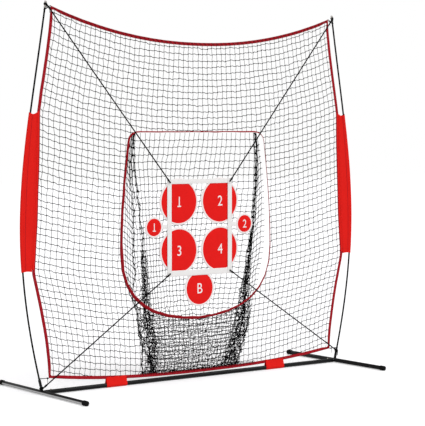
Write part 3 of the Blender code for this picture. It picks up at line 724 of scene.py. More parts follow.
def front_knots(sizes, rng):
    """The knots of the front net, row by row, with the ends of each row at the tapes."""
    high = float(TOP_NEAR(0.0))
    half = float(SIDE_NEAR(1.2))
    columns = int(round(2 * half / sizes.cell))
    rows = int((high + 0.10) / sizes.cell)
    shares = np.concatenate([[-1], (np.arange(columns) + 0.5) * 2 / columns - 1, [1]])
    levels = high - (np.arange(rows) + 0.4) * sizes.cell
    levels = np.concatenate([[high + 0.02], levels])
    grid = np.zeros((len(levels), len(shares), 3))
    for j, level in enumerate(levels):
        down = min(max((high - level) / high, 0), 1)
        sag = sizes.sag + (sizes.low_sag - sizes.sag) * down
        z = level + sag * abs(shares) ** 2.1
        grid[j, :, 0] = shares * SIDE_NEAR(np.maximum(z, 0.11))
        grid[j, :, 2] = z
    stray = rng.normal(0, sizes.slack, grid.shape) * (1, 0.35, 1)
    stray[:, 0] = stray[:, -1] = 0
    waves = np.array([smooth_noise(len(shares), rng, 6) for _ in levels]) * sizes.slack * 1.2
    grid += stray
    grid[:, 1:-1, 2] += waves[:, 1:-1]
    return grid


def everywhere(x, z):
    return np.ones_like(x)


TWINE_BEND = 0.0022


def weave_net(grid, keep, sizes, rng, builders):
    """Adds a net's upright twines, level twines and knots to three builders."""
    uprights, levels, knots = builders
    for row in grid[1:]:
        for run in clip(between(row, LEVEL_BENDS, rng, TWINE_BEND), keep):
            levels.tube(run, sizes.level, 4, capped=False)
    for j in range(1, grid.shape[1] - 1):
        for run in clip(between(grid[:, j], UPRIGHT_BENDS, rng, TWINE_BEND), keep):
            uprights.tube(run, sizes.upright, 4, capped=False)
    places = grid[1:, 1:-1].reshape(-1, 3)
    inside = keep(places[:, 0], places[:, 2]) > 0.002
    tie_knots(knots, places[inside], sizes.knot, rng)


def finish_net(builders, node):
    """Makes a net's three pieces, the first of which stands for the frame's node."""
    for part, kind in zip(builders, ("uprights", "levels", "knots")):
        replaced = (node,) if kind == "uprights" else ()
        part.piece(f"{node}_{kind}", "twine", "stand", "black_knotted_netting", replaced)


class TARGETNET_OT_front_net(bpy.types.Operator):
    """Knotted netting between the border tapes, open where the pocket is"""

    bl_idname = "target_net.front_net"
    bl_label = "Front net"

    def execute(self, context):
        sizes, rng = settings().net, np.random.RandomState(SEED)
        builders = Builder(), Builder(), Builder()
        weave_net(front_knots(sizes, rng), front_region, sizes, rng, builders)
        finish_net(builders, "front_net")
        return {"FINISHED"}


# One side of the pocket from the rim's top down. Each row holds the height, then how far
# from the middle the inner fold starts and ends, the same for the outer fold, where the
# netting's edge is, and how deep the folds lie.
POCKET_LEFT = np.array(
    [
        (1.52, 0.456, 0.460, 0.466, 0.470, 0.478, 0.008),
        (1.36, 0.462, 0.468, 0.486, 0.490, 0.512, 0.014),
        (1.14, 0.414, 0.420, 0.460, 0.465, 0.545, 0.028),
        (0.94, 0.388, 0.395, 0.450, 0.456, 0.556, 0.038),
        (0.75, 0.366, 0.377, 0.438, 0.446, 0.556, 0.046),
        (0.56, 0.342, 0.362, 0.428, 0.444, 0.520, 0.052),
        (0.46, 0.336, 0.366, 0.385, 0.412, 0.446, 0.052),
        (0.35, 0.320, 0.356, 0.376, 0.404, 0.423, 0.050),
        (0.24, 0.296, 0.334, 0.352, 0.382, 0.398, 0.044),
        (0.13, 0.294, 0.334, 0.352, 0.386, 0.404, 0.034),
        (0.04, 0.300, 0.340, 0.360, 0.394, 0.412, 0.024),
    ]
)[::-1]
POCKET_RIGHT = np.array(
    [
        (1.52, 0.440, 0.446, 0.450, 0.456, 0.468, 0.008),
        (1.44, 0.452, 0.458, 0.462, 0.468, 0.496, 0.012),
        (1.22, 0.456, 0.461, 0.464, 0.470, 0.540, 0.020),
        (0.96, 0.440, 0.446, 0.450, 0.456, 0.558, 0.034),
        (0.80, 0.420, 0.428, 0.433, 0.442, 0.558, 0.044),
        (0.63, 0.394, 0.408, 0.416, 0.428, 0.520, 0.050),
        (0.52, 0.366, 0.386, 0.398, 0.418, 0.490, 0.052),
        (0.40, 0.336, 0.374, 0.394, 0.428, 0.446, 0.052),
        (0.30, 0.302, 0.342, 0.366, 0.406, 0.422, 0.048),
        (0.19, 0.262, 0.302, 0.326, 0.368, 0.384, 0.040),
        (0.04, 0.205, 0.245, 0.266, 0.306, 0.322, 0.024),
    ]
)[::-1]
# Columns of netting out to the inner fold, in it, between the folds, in the outer and beyond.
LEFT_COLUMNS = (12.5, 3, 2, 3, 5)
RIGHT_COLUMNS = (12.5, 4, 1, 4, 5)


def pocket_outline():
    """Heights of the frame's pocket with its half width and depth at each."""
    points = node_points("pocket_net")
    heights = np.unique(points[:, 2].round(3))
    found = []
    for height in heights:
        ring = points[abs(points[:, 2] - height) < 0.004]
        found.append((height, ring[:, 0].max(), ring[:, 1].max() - 0.003))
    return np.array(found)


def pocket_section(z, shape, columns, outline):
    """How far out and how deep each column of one side of the pocket lies at a height."""
    half = np.interp(z, outline[:, 0], outline[:, 1]) - 0.004
    inner, inner_end, outer, outer_end, edge, depth = (
        np.interp(z, shape[:, 0], shape[:, i]) for i in range(1, 7)
    )
    edge = min(edge, half)
    back = max(np.interp(z, outline[:, 0], outline[:, 2]), depth)
    stops = np.concatenate([[0], np.cumsum(columns)])
    column = np.arange(int(stops[-1])) + 0.5
    x = np.interp(column, stops, (0, inner, inner_end, outer, outer_end, edge))
    y = np.full(len(column), float(depth))
    flat = x < inner
    y[flat] = depth + (back - depth) * (1 - (x[flat] / inner) ** 2) ** 0.8
    beyond = column > stops[4]
    share = (column[beyond] - stops[4]) / columns[4]
    y[beyond] = depth + (0.0055 - depth) * share + 0.012 * np.sin(math.pi * share)
    bunched = ~flat & ~beyond
    y[bunched] += 0.006 * (-1.0) ** np.arange(bunched.sum())
    return x, np.maximum(y, 0.0055)


def pocket_levels(top, bottom, cell):
    """Distances down the pocket at which its rows of knots lie, closer towards the foot."""
    downs = [0.0]
    while downs[-1] < top - bottom - 0.008:
        share = downs[-1] / (top - bottom)
        downs.append(downs[-1] + cell * (0.97 - 0.35 * share**2) * (0.35 if share > 0.975 else 1))
    downs[-1] = top - bottom
    return downs


def pocket_knots(sizes, rng):
    """The knots of the pocket's netting, gathered in folds near each side."""
    outline = pocket_outline()
    top, bottom = outline[-1, 0] - 0.002, outline[0, 0] + 0.004
    rows = []
    for down in pocket_levels(top, bottom, sizes.cell):
        z = top - down
        hang = 0.055 * min(down / 0.30, 1) * min((z - bottom) / 0.3, 1)
        halves = []
        for sign, shape, columns in ((-1, POCKET_LEFT, LEFT_COLUMNS), (1, POCKET_RIGHT, RIGHT_COLUMNS)):
            x, y = pocket_section(z, shape, columns, outline)
            edge = np.clip((np.arange(len(x)) - len(x) + 6) / 5, 0, 1)
            drop = hang * (1 - edge * edge * (3 - 2 * edge))
            halves.append(np.stack([sign * x, y, z - drop], 1)[::sign])
        rows.append(np.concatenate(halves))
    grid = np.array(rows)
    loose = np.interp(grid[..., 2], (0.05, 0.36, 0.5), (0.0050, 0.0045, 0.0022))
    bunched = np.interp(grid[..., 2], (0.05, 0.4, 0.7, 1.5), (0.011, 0.009, 0.003, 0.001))
    gather = np.zeros(grid.shape[1])
    gather[5:13] = gather[-13:-5] = 1
    size = loose + bunched * gather[None, :]
    size[0] = size[-1] = 0.001
    stray = rng.normal(0, 1, grid.shape) * size[..., None] * (1, 0.7, 1)
    stray[:, 0] = stray[:, -1] = 0
    return settle_in_pocket(grid + np.clip(stray, -0.03, 0.03), outline, top, bottom)


def settle_in_pocket(grid, outline, top, bottom):
    """Keeps points behind the net and inside the pocket's depth and height."""
    depth = np.interp(grid[..., 2], outline[:, 0], outline[:, 2])
    grid[..., 1] = np.clip(grid[..., 1], 0.0052, np.maximum(depth + 0.010, 0.03))
    grid[..., 2] = np.clip(grid[..., 2], bottom - 0.004, top)
    return grid


def spare_layer(sizes, rng):
    """Knots of the slack netting that hangs below the opening in front of the pocket's back."""
    outline = pocket_outline()
    bottom = outline[0, 0] + 0.004
    levels = np.arange(0.50, bottom, -sizes.cell * 0.62)
    shares = (np.arange(25) + 0.5) / 25
    rows = []
    for z in levels:
        left = -np.interp(z, POCKET_LEFT[:, 0], POCKET_LEFT[:, 3])
        right = np.interp(z, POCKET_RIGHT[:, 0], POCKET_RIGHT[:, 3])
        x = left + (right - left) * shares
        y = 0.010 + 0.022 * np.sin(math.pi * shares) * min(max((0.42 - z) / 0.1, 0), 1)
        rows.append(np.stack([x, y, z - 0.02 * np.sin(math.pi * shares)], 1))
    grid = np.array(rows)
    grid += rng.normal(0, 0.0032, grid.shape) * (1, 0.6, 1)
    return settle_in_pocket(grid, outline, 0.55, bottom)


def below_rim(x, z):
    return rim_distance(x, z, 0.9)


def tangle(builders, sign, sizes, rng):
    """Strands of netting bunched together down one side of the pocket, tied across."""
    uprights, levels, knots = builders
    shape = POCKET_LEFT if sign < 0 else POCKET_RIGHT
    outline = pocket_outline()
    top = 0.80 if sign < 0 else 0.92
    steps = int((top - 0.05) / 0.018)
    z = np.linspace(top, 0.05, steps)
    inner = np.interp(z, shape[:, 0], shape[:, 1])
    outer = np.interp(z, shape[:, 0], shape[:, 4] if sign > 0 else (shape[:, 2] + shape[:, 4]) / 2)
    depth = np.interp(z, shape[:, 0], shape[:, 6])
    loose = np.interp(z, (0.05, 0.5, 1.0), (0.0085, 0.0045, 0.0012))
    strands = []
    for k in range(sizes.strands):
        share = np.clip((k + 0.5) / sizes.strands + 0.16 * smooth_noise(steps, rng, 5), 0, 1)
        x = inner + (outer - inner) * share + rng.normal(0, 1, steps) * loose
        y = depth * rng.uniform(0.35, 1.0) + rng.normal(0, 1, steps) * loose * 0.6
        drop = z + rng.normal(0, 0.004, steps)
        strands.append(np.stack([sign * x, y, drop], 1))
    strands = settle_in_pocket(np.array(strands), outline, top, outline[0, 0])
    for k, strand in enumerate(strands):
        start = rng.randint(0, steps // 3) if k % 3 else 0
        uprights.tube(strand[start:], sizes.upright, 4, capped=False)
        tie_knots(knots, strand[start::2], sizes.knot, rng)
    for i in range(2, steps):
        levels.tube(strands[::2, i], sizes.level, 4, capped=False)


class TARGETNET_OT_pocket_net(bpy.types.Operator):
    """Netting of the ball pocket, gathered in folds behind the opening"""

    bl_idname = "target_net.pocket_net"
    bl_label = "Pocket net"

    lacing_turns = 74
    lacing_reach = 0.44

    def execute(self, context):
        sizes, rng = settings().net, np.random.RandomState(SEED + 1)
        builders = Builder(), Builder(), Builder()
        weave_net(pocket_knots(sizes, rng), everywhere, sizes, rng, builders)
        weave_net(spare_layer(sizes, rng), below_rim, sizes, rng, builders)
        for _, sign in SIDES:
            tangle(builders, sign, sizes, rng)
        finish_net(builders, "pocket_net")
        self.lace(rng)
        return {"FINISHED"}

    def lace(self, rng):
        """Cord wound round the lower tape, which gathers the pocket's last row."""
        angle = np.linspace(0, self.lacing_turns * 2 * math.pi, self.lacing_turns * 8)
        x = np.linspace(-self.lacing_reach, self.lacing_reach, len(angle))
        middle = BOTTOM_NEAR(x) - 0.002
        reach = 0.009 + 0.004 * smooth_noise(len(x), rng, 11)
        path = np.stack([x, 0.0022 + np.sin(angle) * 0.0055, middle + np.cos(angle) * reach], 1)
        lacing = Builder()
        lacing.tube(path, 0.0021, 5)
        lacing.piece("pocket_lacing", "twine", "stand", "black_knotted_netting")


# ---------------------------------------------------------------- tapes and cloth

TAPE_PROFILE = (
    (0.0, 0.0), (0.03, 0.0020), (0.14, 0.0034), (0.30, 0.0036), (0.44, 0.0024), (0.62, 0.0018),
    (0.94, 0.0017), (1.0, 0.0), (0.94, -0.0017), (0.62, -0.0018), (0.44, -0.0024), (0.30, -0.0036),
    (0.14, -0.0034), (0.03, -0.0020),
)


def weave_uv(rows, width):
    """Distance along a strip and across it, in metres, for its woven pattern."""
    rows = np.asarray(rows)
    along = along_length(rows.mean(1))
    girth = np.linspace(0, 2 * width, rows.shape[1])
    return np.stack(np.broadcast_arrays(along[:, None], girth[None, :]), 2).reshape(-1, 2)


class TARGETNET_OT_border_tapes(bpy.types.Operator):
    """Red tape folded over the net's four edges round a cord, and sewn down"""

    bl_idname = "target_net.border_tapes"
    bl_label = "Border tapes"

    def execute(self, context):
        ends = {}
        for name, outer, inner in self.edges():
            self.tape(name, np.array(outer), np.array(inner), np.random.RandomState(SEED + len(name)))
            ends[name] = outer, inner
        for level, _ in LEVELS:
            for side, sign in SIDES:
                at = -1 if level == "top" else 0
                upright = [edge[at] for edge in ends[f"border_tape_{side}"]]
                along = [edge[-1 if sign > 0 else 0] for edge in ends[f"border_tape_{level}"]]
                self.patch(f"corner_patch_{level}_{side}", upright, along)
        return {"FINISHED"}

    def patch(self, name, upright, along):
        """Tape folded over a corner of the net, across the ends of two tapes."""
        points = np.array([upright[0], upright[1], along[1], along[0]], float)
        middle = points.mean(0)
        small, large, rim = (middle + (points - middle) * share for share in (0.6, 1.15, 1.22))
        front, back = (0, -0.0030, 0), (0, 0.0030, 0)
        sheet = Builder()
        sheet.grid(
            [small + front, large + front, rim, large + back, small + back], closed=True, capped=True
        )
        sheet.piece(name, "border", "stand", "red_border_webbing")

    def edges(self):
        """Each tape with points along its outer and its inner edge."""
        found = []
        for side, sign in SIDES:
            low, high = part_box(f"border_tape_{side}")
            z = np.linspace(low.z + 0.001, high.z - 0.001, 150)
            inner_z = np.clip(z, low.z + 0.016, high.z - 0.020)
            outer = [(sign * a, 0, b) for a, b in zip(SIDE_FAR(z), z)]
            inner = [(sign * a, 0, b) for a, b in zip(SIDE_NEAR(inner_z), inner_z)]
            found.append((f"border_tape_{side}", outer, inner))
        for level, far, near in (("top", TOP_FAR, TOP_NEAR), ("bottom", BOTTOM_FAR, BOTTOM_NEAR)):
            low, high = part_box(f"border_tape_{level}")
            x = np.linspace(low.x + 0.001, high.x - 0.001, 150)
            inner_x = np.clip(x, low.x + 0.017, high.x - 0.017)
            outer = [(a, 0, b) for a, b in zip(x, far(x))]
            inner = [(a, 0, b) for a, b in zip(inner_x, near(inner_x))]
            found.append((f"border_tape_{level}", outer, inner))
        return found

    def tape(self, name, outer, inner, rng):
        sizes = settings().cloth
        drift = smooth_noise(len(outer), rng, 5)[:, None] * (0, 0.0010, 0)
        ruck = 1 + 0.10 * smooth_noise(len(outer), rng, 3)[:, None, None]
        rows = band(outer, inner, TAPE_PROFILE)
        middle = rows.mean(1, keepdims=True)
        rows[..., 1] = ((rows - middle) * ruck + middle)[..., 1]
        rows += drift[:, None]
        tape = Builder()
        tape.grid(rows, closed=True, capped=True, uv=weave_uv(rows, 0.020))
        if abs(outer[0, 0]) > 0.9 and outer[0, 0] * outer[-1, 0] > 0:
            self.turn_over(tape, rows)
        for share in (0.52, 0.88):
            for face in (-1, 1):
                line = outer + (inner - outer) * share + drift + (0, face * 0.0019, 0)
                sew(tape, line, (0, face, 0), sizes, which=1)
        main = "whipped" if name.endswith("top") else "border"
        made = tape.piece(
            "sewn_" + name, main + " thread_red sleeve", "stand", "red_border_webbing", (name,),
            with_uv=True,
        )

    def turn_over(self, tape, rows):
        """Gives a side tape the sleeve's cloth where the sleeve is turned over it."""
        low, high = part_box("pole_sleeve_left")
        width = rows.shape[1]
        shares = [pair[0] for pair in TAPE_PROFILE]
        for i in range(len(rows) - 1):
            if low.z < rows[i, 0, 2] < high.z:
                for j in range(width):
                    if max(shares[j], shares[(j + 1) % width]) < 0.7:
                        tape.which[i * width + j] = 2


class TARGETNET_OT_rim(bpy.types.Operator):
    """Red tape bound round the opening, its inner edge leaning out to the thrower"""

    bl_idname = "target_net.rim"
    bl_label = "Opening rim"

    profile = (
        (0.0, 0.0022), (0.10, -0.0006), (0.30, -0.0040), (0.62, -0.0078), (0.92, -0.0098),
        (1.0, -0.0092), (0.98, -0.0076), (0.72, -0.0050), (0.40, -0.0012), (0.14, 0.0024),
    )

    def execute(self, context):
        sizes, rng = settings().cloth, np.random.RandomState(SEED + 2)
        steps = np.arange(RIM_STEPS + 1) % RIM_STEPS
        angle = 2 * math.pi * steps / RIM_STEPS
        ring = np.stack([np.cos(angle), np.zeros_like(angle), np.sin(angle)], 1)
        centre = np.array(RIM_CENTRE) * (1, 0, 1)
        inner = centre + ring * RIM_REACH[steps, :1]
        outer = centre + ring * RIM_REACH[steps, 1:]
        wave = smooth_noise(len(steps), rng, 4)
        wave[-6:] = np.linspace(wave[-6], wave[0], 6)
        inner += ring * wave[:, None] * 0.0018
        # The tape lies flat below and turns edge-on along the top.
        outer = inner + (outer - inner) * (1.10 - 0.50 * np.sin(angle))[:, None]
        rows = band(outer, inner, self.profile)
        rows[..., 1] += (wave * 0.0012)[:, None]
        rows = rows[:-1]
        rim = Builder()
        loop = np.concatenate([rows, rows[:1]])
        rim.grid(loop, closed=True, uv=weave_uv(loop, 0.016))
        lay = loop[:, 2] * 0.6 + loop[:, 3] * 0.4
        sew(rim, lay - (0, 0.0006, 0), (0, -1, 0), sizes, which=1)
        made = rim.piece(
            "sewn_opening_rim", "rim thread_red", "stand", "red_border_webbing", ("opening_rim",),
            with_uv=True,
        )
        return {"FINISHED"}


class TARGETNET_OT_sleeves(bpy.types.Operator):
    """Red cloth sleeves that join the net's sides to the rods"""

    bl_idname = "target_net.sleeves"
    bl_label = "Pole sleeves"

    levels = 92
    layer = 15  # points across one layer
    columns = 39  # points across both layers and the turn between them
    turn_radius = 0.0080

    def execute(self, context):
        for side, sign in SIDES:
            self.sleeve(side, sign)
        return {"FINISHED"}

    def section(self, near, far, wrinkle):
        """Front layer, the turn round the rod and back layer, from the net outwards."""
        radius, last = self.turn_radius, self.layer - 1
        centre = far - radius
        front, back = [], []
        for i in range(self.layer):
            share = i / last
            x = near + (centre - near) * share
            swell = 0.0022 + (radius - 0.0022) * share**2.2
            front.append((x, wrinkle[i] - swell))
            back.append((x, wrinkle[self.columns - self.layer + i] + swell))
        turn = [math.radians(-90 + 18 * i) for i in range(1, 10)]
        round_rod = [(centre + radius * math.cos(a), radius * math.sin(a)) for a in turn]
        return np.array(front + round_rod + back[::-1])

    def outline(self, name):
        """Heights of the frame's sleeve, and its nearest and farthest reach at each."""
        points = abs(node_points(name))
        levels = np.unique(points[:, 2].round(3))
        rings = [points[abs(points[:, 2] - level) < 0.004] for level in levels]
        return levels, [r[:, 0].min() for r in rings], [r[:, 0].max() for r in rings]

    def creases(self, rng):
        """How far each column wrinkles at each level, none where the cloth is held."""
        fields = np.array([smooth_noise(self.levels, rng, 9) for _ in range(self.columns)])
        for i in range(1, self.columns):
            fields[i] = fields[i] * 0.35 + fields[i - 1] * 0.65
        column, last = np.arange(self.columns), self.layer - 1
        inward = np.minimum(column, column[::-1])
        free = np.where(inward < last, np.sin(math.pi * inward / last), 0)
        return fields * free[:, None]

    def surface(self, name, sign, wrinkle, rng):
        """Rows of points over the sleeve, whose ends dip in the middle."""
        low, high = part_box(name)
        levels, near, far = self.outline(name)
        creases = self.creases(rng) * wrinkle
        rows = []
        for k, z in enumerate(np.linspace(low.z + 0.0002, high.z - 0.0002, self.levels)):
            flat = self.section(np.interp(z, levels, near), np.interp(z, levels, far), creases[:, k])
            x = flat[:, 0]
            share = (x - x.min()) / (x.max() - x.min())
            nearness = max(1 - min(z - low.z, high.z - z) / 0.05, 0)
            dip = 0.040 * share * (1 - share) * nearness
            rise = -dip if z > (low.z + high.z) / 2 else 0.35 * dip
            rows.append(np.stack([sign * x, flat[:, 1], z + rise], 1))
        return np.array(rows)

    def sleeve(self, side, sign):
        sizes, rng = settings().cloth, np.random.RandomState(SEED + 3 + sign)
        name = f"pole_sleeve_{side}"
        rows = self.surface(name, sign, sizes.wrinkle, rng)
        hem = Builder()
        hem.grid(rows, uv=weave_uv(rows, (rows[0, :, 0].max() - rows[0, :, 0].min())))
        made = cloth_piece(hem, name, "sleeve thread_red", 0.0011)
        self.stitch(side, rows, sizes)
        # Darker red cords near the rod on both layers: partly the seam's piping, partly painted shade along
        # the sleeve's outer edge.
        piping_and_painted_shade = Builder()
        for column in (10, 28):
            piping_and_painted_shade.tube(rows[1:-1, column] * (1, 1.06, 1), 0.0014, 6)
        piping_and_painted_shade.piece(f"sleeve_piping_{side}", "border", "stand", "red_border_webbing")

    def stitch(self, side, rows, sizes):
        """Seams down both layers and along both hems."""
        stitches, last = Builder(), self.columns - 1
        lines = [(rows[1:-1, at], rows[1:-1, last - at]) for at in (1, 12, 2)]
        lines += [(rows[level, :14], rows[level, 25:]) for level in (3, self.levels - 4)]
        for front, back in lines:
            sew(stitches, front - (0, 0.0008, 0), (0, -1, 0), sizes)
            sew(stitches, back + (0, 0.0008, 0), (0, 1, 0), sizes)
        stitches.piece(f"sleeve_stitching_{side}", "thread_red", "stand", "red_sleeve_cloth")


def cloth_piece(builder, node, finishes, thickness):
    """A layer of cloth given its thickness, half on each side, as a piece of the stand."""
    made = builder.piece("sewn_" + node, finishes, None, None, with_uv=True)
    solid = made.modifiers.new("cloth", "SOLIDIFY")
    solid.thickness, solid.offset = thickness, 0
    settle(made)
    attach(made, "stand")
    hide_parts(node)
    return made


def settle(obj):
    """Turns a piece's modifiers into plain mesh."""
    graph = bpy.context.evaluated_depsgraph_get()
    made = bpy.data.meshes.new_from_object(obj.evaluated_get(graph), depsgraph=graph)
    obj.modifiers.clear()
    obj.data = made
    made.shade_smooth()
    made.set_sharp_from_angle(angle=SHARP_ANGLE)


class TARGETNET_OT_bar_straps(bpy.types.Operator):
    """Red cloth loops that hold the net's lower edge down to the crossbar"""

    bl_idname = "target_net.bar_straps"
    bl_label = "Bar straps"

    columns = 26

    def execute(self, context):
        for side, sign in SIDES:
            self.strap(side, sign, np.random.RandomState(SEED + 9 + sign))
        return {"FINISHED"}

    def column(self, x, top, axis, around, ruck):
        """From the tape down the front, round under the bar and up the back."""
        front = []
        for share in np.linspace(0, 1, 9):
            bulge = abs(ruck) * 4 * share * (1 - share)
            y = -0.0035 - (around - 0.0035) * share**1.6 - bulge
            front.append((x, y, top + (axis + 0.002 - top) * share))
        turn = [
            (x, -around * math.cos(a), axis - around * math.sin(a))
            for a in np.linspace(0.15, math.pi - 0.15, 13)
        ]
        return front + turn + [(x, -y, z) for _, y, z in reversed(front)]

    def strap(self, side, sign, rng):
        sizes, name = settings().cloth, f"bar_strap_{side}"
        low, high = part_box(name)
        bar_low, bar_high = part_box("crossbar_left")
        axis, around = (bar_low.z + bar_high.z) / 2, (bar_high.z - bar_low.z) / 2 + 0.0009
        rows = []
        for i in range(self.columns):
            x = low.x + 0.0005 + (high.x - low.x - 0.001) * i / (self.columns - 1)
            ruck = 0.0008 * math.sin(i * 1.9) + rng.uniform(-0.0003, 0.0003)
            top = high.z - 0.001 + 0.002 * math.sin(i * 0.7 + sign)
            rows.append(self.column(x, top, axis, around, ruck))
        rows = np.array(rows)
        cloth = Builder()
        cloth.grid(rows, uv=weave_uv(rows, 0.1))
        made = cloth_piece(cloth, name, "sleeve", 0.0010)
        stitches = Builder()
        for index, face in ((1, -1), (3, -1), (-2, 1), (-4, 1)):
            sew(stitches, rows[:, index] + (0, face * 0.0007, 0), (0, face, 0), sizes)
        stitches.piece(f"bar_strap_stitching_{side}", "thread_red", "stand", "red_sleeve_cloth")


# ---------------------------------------------------------------- cords


class TARGETNET_OT_cords(bpy.types.Operator):
    """Elastic cords that hold the strike zone, and the loops at the net's corners"""

    bl_idname = "target_net.cords"
    bl_label = "Cords"

    def execute(self, context):
        for level, way in LEVELS:
            for side, sign in SIDES:
                self.bungee(level, side, sign)
                self.loop(level, side, sign)
        return {"FINISHED"}

    def bungee(self, level, side, sign):
        name = f"bungee_{level}_{side}"
        ends = centre_line(name, 0, 0.02)
        outer, inner = (ends[0], ends[-1]) if sign < 0 else (ends[-1], ends[0])
        way = (inner - outer) / np.linalg.norm(inner - outer)
        path = np.linspace(outer, inner, 90)
        radius = 0.0038 * (1 + 0.04 * np.sin(np.arange(90) * 1.3))
        radius[:4] = radius[-3:] = 0.0042
        cord = Builder()
        cord.tube(path, radius, 10)
        whipping = np.stack([inner - way * (0.030 - 0.0012 * i) for i in range(13)])
        cord.tube(whipping, 0.0050 + 0.0005 * (np.arange(13) % 2), 10)
        lashing = np.stack([outer + way * (0.018 + 0.0012 * i) for i in range(15)])
        cord.tube(lashing, 0.0054 + 0.0005 * (np.arange(15) % 2), 10)
        made = cord.piece("elastic_" + name, "cord", None, "black_elastic_cord", (name,))
        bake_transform(made)
        self.lashing(level, side, sign, outer)

    def lashing(self, level, side, sign, end):
        """Turns of cord round the rod where an elastic cord is tied, with a short tail."""
        high = level == "top"
        rod = centre_line(f"pole_rod_{'upper' if high else 'lower'}_{side}", 2)
        near, far = (rod[-1], rod[-2]) if high else (rod[0], rod[1])
        way = unit(near - far) * (1 if high else -1)
        centre = near + way * ((end[2] - near[2]) / way[2])
        reach = 0.0086 if high else 0.0108
        first = unit(np.cross(way, (0.0, 1.0, 0.0)))
        second = np.cross(way, first)
        angle = np.linspace(0, 5 * math.pi, 48)[:, None]
        turns = centre + reach * (np.cos(angle) * first + np.sin(angle) * second)
        turns += way * np.linspace(-0.0060, 0.0060, 48)[:, None]
        tie = Builder()
        tie.tube(turns, 0.0019, 8)
        shares = np.linspace(0, 1, 6)
        tail = [centre + (sign * -0.004 * s, -reach - 0.004, -0.004 - 0.024 * s) for s in shares]
        tie.tube(tail, 0.0022, 8)
        tie.piece(f"bungee_lashing_{level}_{side}", "cord", "stand", "black_elastic_cord")

    def loop(self, level, side, sign):
        """A small knot and tail where the corner loop is tied."""
        name = f"corner_loop_{level}_{side}"
        low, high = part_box(name)
        frame["nodes"][name].data.materials[0] = MATERIALS["cord"]
        tie = Vector((low.x if sign > 0 else high.x, -0.004, (low.z + high.z) / 2))
        knot = Builder()
        turns = []
        for a in np.linspace(0, 4 * math.pi, 26):
            out = sign * (0.010 + 0.004 * math.cos(a * 2))
            turns.append(tie + Vector((out, 0.0045 * math.sin(a), 0.004 * math.cos(a))))
        knot.tube(turns, 0.0016, 6)
        shares = np.linspace(0, 1, 7)
        tail = [tie + Vector((sign * 0.012, -0.003 - 0.002 * s, -0.004 - 0.026 * s)) for s in shares]
        knot.tube(tail, 0.0014, 6)
        knot.piece(f"corner_knot_{level}_{side}", "cord", "stand", "black_elastic_cord")


# ---------------------------------------------------------------- strike zone


WEB_PROFILE = (
    (0.0, 0.0), (0.02, -0.0009), (0.08, -0.0012), (0.5, -0.00105), (0.92, -0.0012), (0.98, -0.0009),
    (1.0, 0.0), (0.98, 0.0009), (0.92, 0.0011), (0.5, 0.0009), (0.08, 0.0011), (0.02, 0.0009),
)


def strip_edges(low, high, along, places, wave=0.0):
    """Both long edges of a straight strip, as points at places along an axis."""
    edges = []
    for limit in (low, high):
        edge = np.full((len(places), 3), (low.y + high.y) / 2)
        edge[:, along], edge[:, 2 - along] = places, limit[2 - along] + wave
        edges.append(edge)
    return edges


class TARGETNET_OT_strike_zone(bpy.types.Operator):
    """The rectangle of white webbing that frames the discs"""

    bl_idname = "target_net.strike_zone"
    bl_label = "Strike zone"

    count = 60

    def execute(self, context):
        for name in ("left", "right", "top", "bottom"):
            self.web(f"zone_web_{name}", 2 if name in ("left", "right") else 0)
        return {"FINISHED"}

    def web(self, name, along):
        sizes, rng = settings().cloth, np.random.RandomState(SEED + len(name))
        low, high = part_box(name)
        places = np.linspace(low[along], high[along], self.count)
        wave = smooth_noise(self.count, rng, 12) * 0.0006
        outer, inner = strip_edges(low, high, along, places, wave)
        rows = band(outer, inner, WEB_PROFILE)
        strap = Builder()
        strap.grid(rows, closed=True, capped=True, uv=weave_uv(rows, 0.03))
        line = outer + (0, -0.0013, 0)
        for share in (0.12, 0.88):
            sew(strap, line + (inner - outer) * share, (0, -1, 0), sizes, which=1)
        if along == 2:
            self.cross_stitch(strap, low, high, sizes)
        made = strap.piece(
            "sewn_" + name, "webbing thread_white", "strike_zone", "white_webbing", (name,), with_uv=True
        )

    def cross_stitch(self, strap, low, high, sizes):
        """A sewn box with a cross where two straps lie over each other."""
        face = (low.y + high.y) / 2 - 0.0013
        a, b = low.x + 0.007, high.x - 0.007
        for base in (low.z + 0.003, high.z - 0.025):
            top = base + 0.022
            for start, end in ((base, top), (top, base), (base, base), (top, top)):
                line = [
                    (a + (b - a) * share, face, start + (end - start) * share)
                    for share in np.linspace(0, 1, 6)
                ]
                sew(strap, line, (0, -1, 0), sizes, which=1)


def disc_mesh(builder, centre, radius, thickness, sizes, rng):
    """A padded disc: a swollen vinyl face each side and a folded binding round the edge."""
    half, sides = thickness / 2, 96
    bound = radius - sizes.binding
    # Distance from the centre, depth, and whether the ring lies on the binding.
    profile = [
        (0.0005, -half - sizes.crown, 0), (bound * 0.35, -half - sizes.crown * 0.93, 0),
        (bound * 0.7, -half - sizes.crown * 0.62, 0), (bound * 0.9, -half + 0.0002, 0),
        (bound * 0.985, -half + 0.0014, 0), (bound, -half + 0.0009, 1), (bound + 0.0015, -half - 0.0004, 1),
        (radius - 0.003, -half + 0.0002, 1), (radius - 0.0006, -half * 0.45, 1), (radius, 0, 1),
    ]
    profile += [(r, -y, m) for r, y, m in reversed(profile[:-1])]
    pucker = smooth_noise(sides, rng, 2) * 0.0004
    pucker[-3:] = np.linspace(pucker[-3], pucker[0], 3)
    angle = np.arange(sides) * 2 * math.pi / sides
    rows = []
    for r, y, _ in profile:
        swell = pucker * (1.6 if 0.6 * bound < r < bound else 0.6)
        ring = [centre.x + r * np.cos(angle), centre.y + y + swell, centre.z + r * np.sin(angle)]
        rows.append(np.stack(ring, 1))
    for i in range(len(rows) - 1):
        pair = np.array([rows[i], rows[i + 1]])
        kind = 1 if profile[i][2] and profile[i + 1][2] else 0
        builder.grid(pair, closed=True, which=kind, uv=pair[..., ::2].reshape(-1, 2))
    return bound


